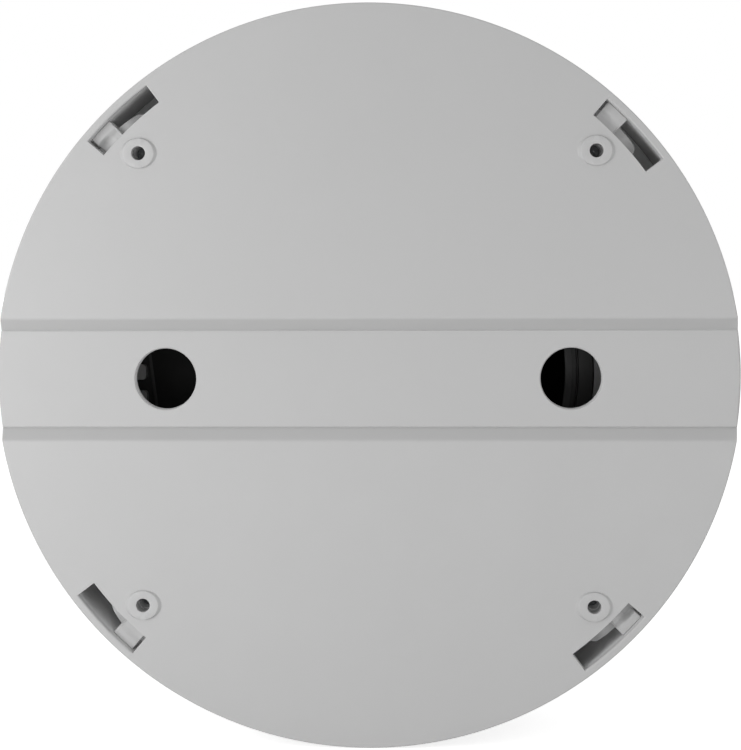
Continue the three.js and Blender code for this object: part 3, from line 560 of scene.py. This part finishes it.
BOSS_OFFSETS = {45: (0.15, 0.0), 135: (0.0, -0.1), 225: (0.0, -0.19), 315: (0.1, -0.24)}


def boss_place(piece, diagonal):
    """The bosses' outer ends stand a little off their even places."""
    x, z = BOSS_OFFSETS[diagonal]
    return moved(turned(piece, diagonal, TERMINAL), x, 0, z)


def boss_pad():
    """The outer end of a boss: round on top, with a slope that is wide only to the left and right."""
    top, foot, steepness, steps = 2.33, 3.08, 0.13, 12
    slope = []
    for k in range(steps + 1):
        level = (BACK + 0.01) * (3 - 2 * k / steps) * (k / steps) ** 2
        slope.append((top + (foot - top) * k / steps, level))
    pad = revolved("pad", [(0, 0), *slope, (foot, BACK + 0.8), (0, BACK + 0.8)], 72)
    for vertex in pad.data.vertices:
        r = math.hypot(vertex.co.x, vertex.co.z) / MM
        if r > top:
            vertex.co.z *= (top + steepness * (r - top)) / r
    return pad


def boss_column():
    """The inner end of a boss, which carries a terminal."""
    profile = rounded([(0, 1.0), (POST_SIZE, 1.0), (POST_SIZE, SEAT, 0.3), (0, SEAT)])
    return revolved("boss", profile, 72)


def pilot_cutters(diagonal):
    """A pilot hole's outer part goes with the boss' outer end, and the rest with its column."""
    mouth, meeting = 0.1, 2.6
    levels = mouth_levels(0, mouth, 3.0, 4)
    outer = [(PILOT + flare(max(0, y), mouth), y) for y in levels]
    outer = [(0, levels[0]), *outer, (0, levels[-1])]
    deeper = [(0, meeting), (PILOT, meeting), (PILOT, SEAT + 1), (0, SEAT + 1)]
    return [
        boss_place(revolved("pilot", outer, 48), diagonal),
        turned(revolved("pilot", deeper, 48), diagonal, TERMINAL),
    ]


def entry_cutter(x, z):
    """A round hole with a softened edge, which widens at 45 degrees inside."""
    end = PLATE_DEEP + 1
    profile = [
        (0, CHANNEL - 1),
        (ENTRY + 0.23, CHANNEL - 1),
        (ENTRY + 0.23, CHANNEL),
        (ENTRY + 0.11, CHANNEL + 0.08),
        (ENTRY + 0.03, CHANNEL + 0.2),
        (ENTRY, CHANNEL + 0.35),
        (ENTRY, ENTRY_FLARE),
        (ENTRY + end - ENTRY_FLARE, end),
        (0, end),
    ]
    return moved(revolved("entry", profile, 128), x, 0, z)


def painted_glow_faces(x, y, z, r):
    """Faces of the base's inner side and of the walls of its slots and entries, which get the painted glow.
    """
    if y > PLATE_IN - 0.05:
        return r < 59.2 and y < SKIRT_END - 0.1
    if any(math.hypot(x - a, z - b) < ENTRY + 0.05 for a, b in ENTRIES):
        return y > CHANNEL + 0.2
    return y > 0.6 and 55.2 < r < 58.9 and abs(z) > 12


def base_moulding():
    body = revolved("base_moulding", rounded([
        (0, BACK),
        (PLATE, BACK, RIM),
        (BODY, SKIRT_END, 0.25),
        (SKIRT_IN, SKIRT_END, 0.25),
        (SKIRT_IN, PLATE_IN, 0.5),
        (0, PLATE_IN),
    ], steps=10))
    extras = [channel_backing()]
    for diagonal in DIAGONALS:
        extras.append(boss_place(turned(boss_pad(), -diagonal), diagonal))
        extras.append(turned(boss_column(), diagonal, TERMINAL))
        shelf = prism("ledge", sector(57.2, PLATE_OUT, -0.2, 4.9), 4.1, 6.1)
        extras.append(turned(softened(shelf, 0.15), diagonal))
    for angle in (70, 110, 250, 290):
        extras.append(turned(blockish("rib", (39.03, 2.5, 1.2), (31.915, 3.85, 0)), angle))
    joined(body, *extras)
    cutters = [channel_cutter()]
    for x, z in ENTRIES:
        cutters.append(entry_cutter(x, z))
    for diagonal in DIAGONALS:
        cutters += [*pilot_cutters(diagonal), slot_cutter(diagonal)]
    return dressed(cut(body, *cutters), "mounting_base", others=(painted_glow_plastic,), where=painted_glow_faces)


base_moulding()


# Head chassis, with the bayonet arms that show through the slots

# How far the inner part of each foot lies lower, and sinks further at its far end
FOOT_STEPS = {45: (0.26, 0.15), 135: (0.5, 0.5), 225: (0.22, 0.1), 315: (0.55, 0.65)}

# For each arm, the angle at which its tip starts to taper, its width, and what it loses per degree
ARM_TIPS = {
    45: (-3.6, 1.92, 0.05),
    135: (-3.6, 1.9, 0.11),
    225: (-2.5, 1.94, 0.2),
    315: (-3.9, 1.94, 0.04),
}


def foot(diagonal):
    """The foot of an arm. Its inner part lies lower and sinks towards its counterclockwise end."""
    lower, sunk = FOOT_STEPS[diagonal]
    inner, outer, bend = 55.2, 58.55, 57.4
    start, end, length = -0.2, 3.9, 4.1
    face, back = 2.0, 3.8
    radii = [inner + (outer - inner) * k / 40 for k in range(41)]
    angles = [start + length * k / 48 for k in range(49)]

    def point(angle, r, y):
        a = math.radians(angle)
        return (r * math.cos(a), y, r * math.sin(a))

    def top(angle, r):
        along = (angle - start) / length
        edge = flare(outer - r, 0.12) + flare(min(angle - start, end - angle), 0.2)
        step = lower * smooth(along / 0.08) * smooth((bend - r) / 1.2)
        deep = sunk * smooth((along - 0.3) / 0.4) * smooth((bend - r) / 0.8)
        return point(angle, r, face + edge + step + deep)

    def bottom(angle, r):
        return point(angle, r, back)

    return turned(field("foot", angles, radii, top, bottom), diagonal)


def arm(diagonal):
    """The arm behind the foot. Past the foot it sinks, and tapers to a rounded tip."""
    shoulder, full, narrowing = ARM_TIPS[diagonal]
    tip, length = 5.05, 10.45
    face, sinking, rear = 3.22, 1.2, 21.0
    angles = [-tip + length * k / 60 for k in range(61)]
    shares = [k / 20 for k in range(21)]

    def point(angle, t, level, rounding):
        taper = min(1.0, max(0.0, (shoulder - angle) / (shoulder + tip)))
        width = (full + narrowing * min(0.0, angle)) * math.sqrt(1 - taper ** 2.2) + 0.02
        edge = flare((1 - t) * width, 0.12) + flare(t * width, 0.12)
        a = math.radians(angle)
        r = ARM_IN + t * width
        return (r * math.cos(a), level + edge if rounding else level, r * math.sin(a))

    def front(angle, t):
        return point(angle, t, face + sinking * smooth((-1.8 - angle) / 3.4), True)

    def far(angle, t):
        return point(angle, t, rear, False)

    return turned(field("arm", angles, shares, front, far), diagonal)


def screw_way(angle, start, end):
    """A cutter for a cover screw's hole."""
    profile = [(0, start), (SCREW_WAY, start), (SCREW_WAY, end), (0, end)]
    return turned(revolved("way", profile, 32), angle, POST)


def chassis_moulding():
    ring = revolved("chassis_moulding", rounded([
        (COVER_IN, FLOOR_BACK, 0.08),
        (ARM_IN, FLOOR_BACK, 0.3),
        (ARM_IN, 14.4, 0.2),
        (58.28, 14.4, 0.2),
        (58.28, 15.6, 0.2),
        (56.9, 15.6, 0.2),
        (56.9, FLOOR_BACK, 0.3),
        (HEAD_IN, FLOOR_BACK, 0.3),
        (HEAD_IN, HEAD_START, 0.2),
        (BODY, HEAD_START, 0.4),
        (BODY, RIM_END, 0.2),
        (HEAD_IN, RIM_END, 0.2),
        (HEAD_IN, FLOOR_FRONT, 0.3),
        (COVER_IN, FLOOR_FRONT, 0.08),
    ], steps=4, closed=True), closed=True)
    extras = []
    for diagonal in DIAGONALS:
        extras += [arm(diagonal), foot(diagonal)]
    for angle in SCREW_ANGLES:
        profile = rounded([(0, 22.0), (POST_SIZE, 22.0), (POST_SIZE, 24.3, 0.2), (0, 24.3)])
        extras.append(turned(revolved("post", profile, 48), angle, POST))
    joined(ring, *extras)
    ways = [screw_way(angle, 19.5, 25.3) for angle in SCREW_ANGLES]
    window = blockish("window", (4.4, 4.0, 11.7), (-39.5, 21.5, -1.65))
    tabs = []
    for low, high, end in ((-1.32, 1.27, -38.52), (-5.9, -3.22, -38.4)):
        outline = rounded([(-43, low), (end, low, 0.6), (end, high, 0.6), (-43, high)])
        tabs.append(prism("tab", outline, FLOOR_BACK, FLOOR_FRONT))
    cut(window, *tabs)

    def shade(x, y, z, r):
        """The arms' fronts get a darker grey, painted shade, and the walls behind the slots the lighter
        inside colour with its painted glow.
        """
        if 54.9 < r < 57.0 and 3.1 < y < 5.6:
            return 2
        return 54.9 < r < 58.5 and 5.6 < y < 20.3

    others = (painted_glow_plastic, arm_painted_shade_plastic)
    return dressed(cut(ring, *ways, window), "head_chassis", others=others, where=shade)


chassis_moulding()


# Rear cover of the electronics, black, seen through the cable entries

def rear_cover_moulding():
    back = FLOOR_BACK + 0.5
    body = revolved("rear_cover_moulding", rounded([
        (0, back + 1.6),
        (32.8, back + 1.6, 0.3),
        (32.8, back, 0.25),
        (34.05, back),
        (34.1, back + 0.03),
        (34.93, back + 0.03, 0.1),
        (34.93, back + 0.8, 0.05),
        (35.22, back + 0.8, 0.05),
        (35.22, back + 0.03, 0.1),
        (37.72, back + 0.03, 0.12),
        (37.72, 22.8),
        (41.0, 22.8, 0.2),
        (41.0, 24.3, 0.2),
        (0, 24.3),
    ], steps=4), 192)
    island = prism("island", sector(23.95, 37.8, 150, 228), back - 0.06, back + 2.1)
    lip = prism("lip", sector(35.6, 38.25, 174.3, 190.7), back + 0.03, 22.6)
    joined(body, island, lip)
    tilt, half = 7.3, 19.0
    edge = [
        (36.95, back - 1.0),
        (36.95, back + 0.05),
        (37.47, back + 0.06),
        (37.47, 22.8),
        (39.75, 22.8),
        (39.75, back - 1.0),
    ]
    flat = turned(lofted("flat", [[(x, y, z) for x, y in edge] for z in (-half, half)]), 180 + tilt)
    turn = math.radians(tilt)

    def shade(x, y, z, r):
        """The recess is matt and darkest, then the island, both painted shade. The ring and the flat's edge
        are lighter, a painted highlight.
        """
        if y < back - 0.03:
            return 2
        along_flat = -x * math.cos(turn) - z * math.sin(turn) > 36.93 and x < -30
        if r < 34.08 and y < back + 0.02 or along_flat and y < back + 0.1:
            return 3
        return r < 33.0 and y > back + 0.2

    others = (painted_shade_matt_black, painted_shade_black, painted_highlight_black)
    return dressed(cut(body, flat), "rear_cover", others=others, where=shade)


rear_cover_moulding()


# Fasteners and terminals

def pan_screw(name, head, height, shank, tip, crest):
    """A threaded pan-head screw with a cross recess. Its head's seat is y = 0 and the head faces +Y."""
    r = head / 2
    thread = [(shank / 2, tip + 1.5)]
    while thread[-1][1] < -1.0:
        thread += [(crest, thread[-1][1] + 0.3), (shank / 2, thread[-1][1] + 0.6)]
    body = revolved(name, rounded([
        (0, tip),
        (0.05, tip),
        *thread,
        (shank / 2, 0, 0.1),
        (r, 0, 0.15),
        (r, height * 0.55, 0.3),
        (r * 0.72, height * 0.97, 0.6),
        (0, height),
    ], steps=5), 48)
    grooves = []
    for turn in (0, 90):
        wide, deep = r * 0.62, height * 0.75
        top, low = height + 0.5, height - deep
        outline = [(-wide, top), (wide, top), (wide * 0.45, low), (-wide * 0.45, low)]
        groove = lofted("groove", [[(x, y, z) for x, y in outline] for z in (-r * 0.15, r * 0.15)])
        grooves.append(turned(groove, turn))
    joined(grooves[0], grooves[1])
    return cut(body, grooves[0])


def strip(name, path, thickness, width):
    """A strip of metal bent along a path of (z, y), its width along X, with rounded bends."""
    centre = rounded([(*p, 0.7) for p in path], steps=5)
    sides = ([], [])
    for i, here in enumerate(centre):
        before = Vector(centre[max(i - 1, 0)])
        after = Vector(centre[min(i + 1, len(centre) - 1)])
        along = (after - before).normalized()
        normal = Vector((-along.y, along.x)) * thickness / 2
        sides[0].append(Vector(here) + normal)
        sides[1].append(Vector(here) - normal)
    outline = sides[0] + sides[1][::-1]
    rings = [[(x, p.y, p.x) for p in outline] for x in (-width / 2, width / 2)]
    return softened(lofted(name, rings), 0.08, 2, 50)


def pilot_hole(start, end):
    return revolved("hole", [(0, start), (PILOT, start), (PILOT, end), (0, end)], 32)


def terminals():
    path = [(-3.6, 8.3), (4.0, 8.3), (4.8, 9.1), (8.4, 12.9), (9.2, 13.7), (10.6, 13.7), (11.4, 12.9)]
    leaf = cut(strip("terminal_strip", path, 0.6, 5.0), pilot_hole(7, 9.6))
    clamp = softened(blockish("clamp_plate", (6.0, 0.8, 6.0), (0, 9.3, 0)), 0.15)
    cut(clamp, pilot_hole(8, 11))
    screw = moved(pan_screw("terminal_screw", 5.6, 2.2, 1.6, -5.3, 1.06), y=9.7)
    sources = ((leaf, "terminal_leaf"), (clamp, "wire_clamp"), (screw, "terminal_screw"))
    for i, diagonal in enumerate(DIAGONALS, 1):
        for source, node in sources:
            twin = copied(source, f"{source.name}_{i}_shown")
            dressed(turned(twin, diagonal, TERMINAL), f"{node}_{i}")
    for source, _ in sources:
        bpy.data.objects.remove(source)


def head_contacts():
    path = [(-3.3, 15.4), (-2.5, 14.6), (1.9, 14.6), (2.5, 15.2), (2.5, 19.6), (3.1, 20.2), (6.3, 20.2)]
    past_leaf = 13.2
    contact = strip("head_contact_strip", path, 0.6, 4.0)
    for i, diagonal in enumerate(DIAGONALS, 1):
        twin = copied(contact, f"contact_strip_{i}")
        dressed(turned(twin, diagonal + past_leaf, TERMINAL), f"head_contact_{i}")
    bpy.data.objects.remove(contact)


def cover_screws():
    screw = pan_screw("cover_screw", 5.4, 2.0, 2.4, -11.8, 1.42)
    screw.data.transform(Matrix.Rotation(math.pi, 4, "X"))
    moved(screw, y=FLOOR_BACK)
    for i, angle in enumerate(SCREW_ANGLES, 1):
        dressed(turned(copied(screw, f"cover_screw_shown_{i}"), angle, POST), f"cover_screw_{i}")
    bpy.data.objects.remove(screw)


terminals()
head_contacts()
cover_screws()


# Front cover, on the room side

BUTTON_SIDE, LIGHT_SIDE = 270, 90


def face_at(r):
    """The level of the sloping face at a distance from the axis."""
    return FACE_EDGE + (FACE_TOP - FACE_EDGE) * (FACE_OUT - r) / (FACE_OUT - FACE_IN)


def shoulder_arc(wide, deep, steps):
    """A quarter of an ellipse as (radius, y), from the side to the face."""
    turns = [math.pi / 2 * k / steps for k in range(steps + 1)]
    return [(FACE_OUT + wide * math.cos(t), SHOULDER + deep * math.sin(t)) for t in turns]


def shell_profile():
    face = rounded([
        (FACE_IN, FACE_TOP - 1.8),
        (34.0, 35.6, 0.3),
        (34.0, 37.4, 0.3),
        (36.8, 37.4, 0.15),
        (36.8, 40.3, 0.35),
        (38.3, 40.3, 0.5),
        (FACE_IN, FACE_TOP, 0.6),
        (FACE_OUT, FACE_EDGE),
    ], steps=5)
    side = rounded([
        (59.5, SHOULDER),
        (BODY, 24.3, 0.3),
        (57.9, 24.3, 0.3),
        (57.9, 22.8, 0.2),
        (56.4, 22.8, 0.2),
        (56.4, SHOULDER),
    ], steps=4)
    outside, inside = shoulder_arc(7.0, 6.3, 16), shoulder_arc(3.9, 4.5, 8)
    return [*face[:-1], *outside[::-1], *side[1:-1], *inside]


def button_collar(seat, top):
    """The ring that stands round the test button, and the thicker place that carries it."""
    low, high = seat - 1.2, seat + 0.9
    collar = rounded([(0, seat), (6.7, seat), (6.7, top, 0.45), (0, top)])
    pad = rounded([(0, low), (7.45, low, 0.2), (7.45, high), (0, high)])
    return [
        turned(revolved("collar", collar, 96), BUTTON_SIDE, FITTING),
        turned(revolved("pad", pad, 64), BUTTON_SIDE, FITTING),
    ]


def front_post(angle):
    low, high = 26.5, face_at(POST) - 0.9
    profile = [(0, low), (POST_SIZE, low), (POST_SIZE, high), (0, high)]
    return turned(revolved("post", profile, 48), angle, POST)


def button_well(seat, top):
    hole, mouth = 4.8, 0.3
    profile = [(0, seat - 2.2), (6.05, seat - 2.2), (6.05, seat), (hole, seat), (hole, top - mouth)]
    profile += [(hole + flare(d, mouth), top - d) for d in (0.25, 0.2, 0.15, 0.1, 0.05, 0.0)]
    profile += [(5.1, top + 1), (0, top + 1)]
    return turned(revolved("well", profile, 96), BUTTON_SIDE, FITTING)


def light_hole(face):
    hole, mouth = 2.1, 0.3
    profile = [(0, 26.2), (hole, 26.2), (hole, face - mouth)]
    profile += [(hole + flare(d, mouth), face - d) for d in (0.2, 0.1, 0.0)]
    profile += [(2.4, face + 1), (0, face + 1)]
    return turned(revolved("light", profile, 64), LIGHT_SIDE, FITTING)


def sound_slot(row, half):
    """A curved slot over the sounder, with half its length in degrees."""
    mouth, corner, reach = 0.35, 0.9, 1
    r = SOUNDER + (row - 1) * SOUND_ROW_PITCH
    level = face_at(r)
    rings = []
    # In the outermost row the last two rings get two points more, so that slot isn't cut.
    for rise in (-4.0, -0.35, -0.28, -0.2, -0.12, -0.05, 0.02, 1):
        y = level + rise
        edge = flare(max(0.0, level - y), mouth)
        end = half + math.degrees(edge / r)
        outline = sector(r - reach - edge, r + reach + edge, -end, end, (corner,) * 4)
        rings.append([(x, y, z) for x, z in outline])
    return lofted("sound_slot", rings)


def front_moulding():
    body = revolved("front_moulding", shell_profile(), closed=True)
    seat = face_at(FITTING) - 1.8
    top = seat + 3.3
    joined(body, *button_collar(seat, top), *[front_post(angle) for angle in SCREW_ANGLES])
    cutters = [button_well(seat, top), light_hole(face_at(FITTING))]
    cutters += [screw_way(angle, 25.2, 33.9) for angle in SCREW_ANGLES]
    cutters += [sound_slot(row, half) for row, half in enumerate((6, 8, 6))]
    return dressed(cut(body, *cutters), "front_cover")


front_moulding()


# Turret with its smoke inlets and the mesh behind them

INLETS = 24


def inlet_cutter(number):
    """One of the smoke inlets, with a softened mouth."""
    mouth, half, low, high = 0.4, 1.9, 42.3, 49.5
    rings = []
    for x in (33.0, 35.9, 36.1, 36.25, 36.38, TURRET, 38.0):
        grow = flare(max(0.0, TURRET - x), mouth)
        wide, bottom, top = half + grow, low - grow, high + grow
        corners_at = [(-wide, bottom, 0.7), (wide, bottom, 0.7), (wide, top, 0.7), (-wide, top, 0.7)]
        rings.append([(x, y, z) for z, y in rounded(corners_at, steps=4, closed=True)])
    return turned(lofted("inlet", rings), 360 / INLETS * number)


def turret_moulding():
    rim, level, rise, wall, bend = 33.7, 53.5, 2.966, 1.8, 2.8

    def dome(r):
        return level + rise - rise * (r / rim) ** 2

    outside = [(r, dome(r)) for r in (rim * (1 - k / 16) for k in range(2, 17))]
    inside = [(r, dome(r) - wall) for r in (32.4 * k / 12 for k in range(13))]
    turns = [math.radians(80) * k / 12 for k in range(13)]
    edge = [(rim + bend * math.cos(t), level - bend + bend * math.sin(t)) for t in turns]
    body = revolved("turret_moulding", [
        *inside,
        (34.7, 50.2),
        (34.7, 37.7),
        (36.2, 37.7),
        (TURRET, 38.0),
        *edge,
        *outside,
    ], 240)
    return dressed(cut(body, *[inlet_cutter(k) for k in range(INLETS)]), "turret_cap")


def screen_weave():
    """Wires crossing over and under each other round the chamber."""
    r, wire, sway = 34.2, 0.13, 0.1
    low, high, uprights, rings = 37.8, 50.2, 210, 13
    points, faces = [], []

    def tube(path, loop):
        start = len(points)
        count = len(path)
        for i, here in enumerate(path):
            after = Vector(path[(i + 1) % count] if loop else path[min(i + 1, count - 1)])
            before = Vector(path[i - 1] if loop else path[max(i - 1, 0)])
            along = (after - before).normalized()
            out = Vector((here[0], 0, here[2])).normalized()
            side = along.cross(out).normalized()
            for u, v in ((1, 0), (0, 1), (-1, 0), (0, -1)):
                points.append(tuple(Vector(here) + (out * u + side * v) * wire))
        for i in range(count if loop else count - 1):
            a, b = start + 4 * i, start + 4 * ((i + 1) % count)
            for k in range(4):
                m = (k + 1) % 4
                faces.append([a + k, a + m, b + m, b + k])
        if not loop:
            faces.append([start + 3, start + 2, start + 1, start])
            faces.append([start + 4 * (count - 1) + k for k in range(4)])

    for k in range(uprights):
        a = math.tau * k / uprights
        path = []
        for i in range(2 * rings + 1):
            y = low + (high - low) * i / (2 * rings)
            swing = 0.0 if i % 2 == 0 else sway * (1 if (k + i // 2) % 2 else -1)
            path.append(((r + swing) * math.cos(a), y, (r + swing) * math.sin(a)))
        tube(path, False)
    for j in range(rings):
        y = low + (high - low) * (2 * j + 1) / (2 * rings)
        path = []
        for i in range(2 * uprights):
            a = math.tau * i / (2 * uprights)
            swing = 0.0 if i % 2 else -sway * (1 if (i // 2 + j) % 2 else -1)
            path.append(((r + swing) * math.cos(a), y, (r + swing) * math.sin(a)))
        tube(path, True)
    return dressed(made("screen_weave", points, faces), "insect_screen", 60)


turret_moulding()
screen_weave()


# Test button and status light

def button_moulding():
    face = face_at(FITTING)
    seat, top = face - 2.1, face + 2.7
    body = revolved("button_moulding", rounded([
        (0, 31.9),
        (2.0, 31.9, 0.2),
        (2.0, seat - 1.1, 0.2),
        (5.75, seat - 1.1, 0.2),
        (5.75, seat, 0.2),
        (4.5, seat, 0.1),
        (4.5, top, 0.7),
        (3.4, top - 0.02, 1.0),
        (2.2, top - 0.3, 2.0),
        (0, top - 0.35),
    ], steps=8), 96)
    return dressed(turned(body, BUTTON_SIDE, FITTING), "test_button")


def light_pipe():
    face = face_at(FITTING)
    flange = face - 2.4
    body = revolved("light_pipe", rounded([
        (0, 28.3),
        (1.8, 28.3, 0.1),
        (1.8, flange - 1.0, 0.1),
        (2.7, flange - 1.0, 0.15),
        (2.7, flange, 0.15),
        (1.8, flange, 0.1),
        (1.8, face + 0.9, 0.9),
        (0.6, face + 1.35, 1.2),
        (0, face + 1.4),
    ], steps=6), 64)
    return dressed(turned(body, LIGHT_SIDE, FITTING), "status_light_pipe")


button_moulding()
light_pipe()


# Room, lights and camera, in metres

AMBIENT = 0.5
LAMPS = (
    ("left_box", (-0.17, -0.16, -0.03), (0.10, 0.30), 0.43),
    ("right_box", (0.15, -0.11, -0.02), (0.06, 0.30), 0.056),
    ("low_strip", (0.0, -0.22, -0.045), (0.40, 0.03), 0.075),
)


def surroundings():
    half, level = 3.0, -BODY * MM
    places = [(x, y, level) for x, y in ((-half, -half), (half, -half), (half, half), (-half, half))]
    mesh = bpy.data.meshes.new("floor")
    mesh.from_pydata(places, [], [(0, 1, 2, 3)])
    floor = bpy.data.objects.new("floor", mesh)
    bpy.context.scene.collection.objects.link(floor)
    mat = bpy.data.materials.new("floor")
    mat.use_nodes = True
    tree = mat.node_tree
    tree.nodes.clear()
    diffuse = tree.nodes.new("ShaderNodeBsdfDiffuse")
    diffuse.inputs["Color"].default_value = (0.8, 0.8, 0.8, 1)
    glow = tree.nodes.new("ShaderNodeEmission")
    both = tree.nodes.new("ShaderNodeAddShader")
    end = tree.nodes.new("ShaderNodeOutputMaterial")
    tree.links.new(seen_by_eye(tree, 0.75, 0.0), glow.inputs["Strength"])
    tree.links.new(diffuse.outputs[0], both.inputs[0])
    tree.links.new(glow.outputs[0], both.inputs[1])
    tree.links.new(both.outputs[0], end.inputs["Surface"])
    floor.data.materials.append(mat)

    world = bpy.data.worlds.new("studio")
    bpy.context.scene.world = world
    world.use_nodes = True
    tree = world.node_tree
    back = tree.nodes["Background"]
    back.inputs["Color"].default_value = (1, 1, 1, 1)
    tree.links.new(seen_by_eye(tree, 1.0, AMBIENT), back.inputs["Strength"])


def seen_by_eye(tree, seen, otherwise):
    """A strength for camera, glossy and transmission rays, and another for the rest."""
    path = tree.nodes.new("ShaderNodeLightPath")
    total = path.outputs["Is Camera Ray"]
    for ray in ("Is Glossy Ray", "Is Transmission Ray"):
        add = tree.nodes.new("ShaderNodeMath")
        add.operation = "MAXIMUM"
        tree.links.new(total, add.inputs[0])
        tree.links.new(path.outputs[ray], add.inputs[1])
        total = add.outputs[0]
    scale = tree.nodes.new("ShaderNodeMapRange")
    scale.inputs["To Min"].default_value = otherwise
    scale.inputs["To Max"].default_value = seen
    tree.links.new(total, scale.inputs["Value"])
    return scale.outputs["Result"]


def softbox(name, place, size, power):
    """A lamp that faces the middle of the base's back."""
    light = bpy.data.lights.new(name, "AREA")
    light.shape = "RECTANGLE"
    light.size, light.size_y = size
    light.energy = power
    lamp = bpy.data.objects.new(name, light)
    bpy.context.scene.collection.objects.link(lamp)
    lamp.location = place
    lamp.rotation_euler = (-Vector(place)).to_track_quat("-Z", "Y").to_euler()
    lamp.visible_camera = False


surroundings()
for lamp in LAMPS:
    softbox(*lamp)


def camera():
    """The camera fitted to the photograph's rim, slots and bosses."""
    yaw, pitch, roll = math.radians(-2.042), math.radians(3.72), math.radians(0.05)
    fit = Matrix.Rotation(roll, 3, "Z") @ Matrix.Rotation(yaw, 3, "Y") @ Matrix.Rotation(pitch, 3, "X")
    to_frame = Matrix(((1, 0, 0), (0, 0, -1), (0, 1, 0)))
    lens = bpy.data.cameras.new("camera")
    lens.lens = 95.352
    lens.sensor_width = 36.0
    lens.clip_start = 0.01
    eye = bpy.data.objects.new("camera", lens)
    bpy.context.scene.collection.objects.link(eye)
    place = Matrix.Translation((0.01193, -0.31679, 0.02139))
    eye.matrix_world = place @ (to_frame @ fit.transposed()).to_4x4()
    bpy.context.scene.camera = eye


camera()
bpy.context.scene.view_settings.view_transform = "Standard"
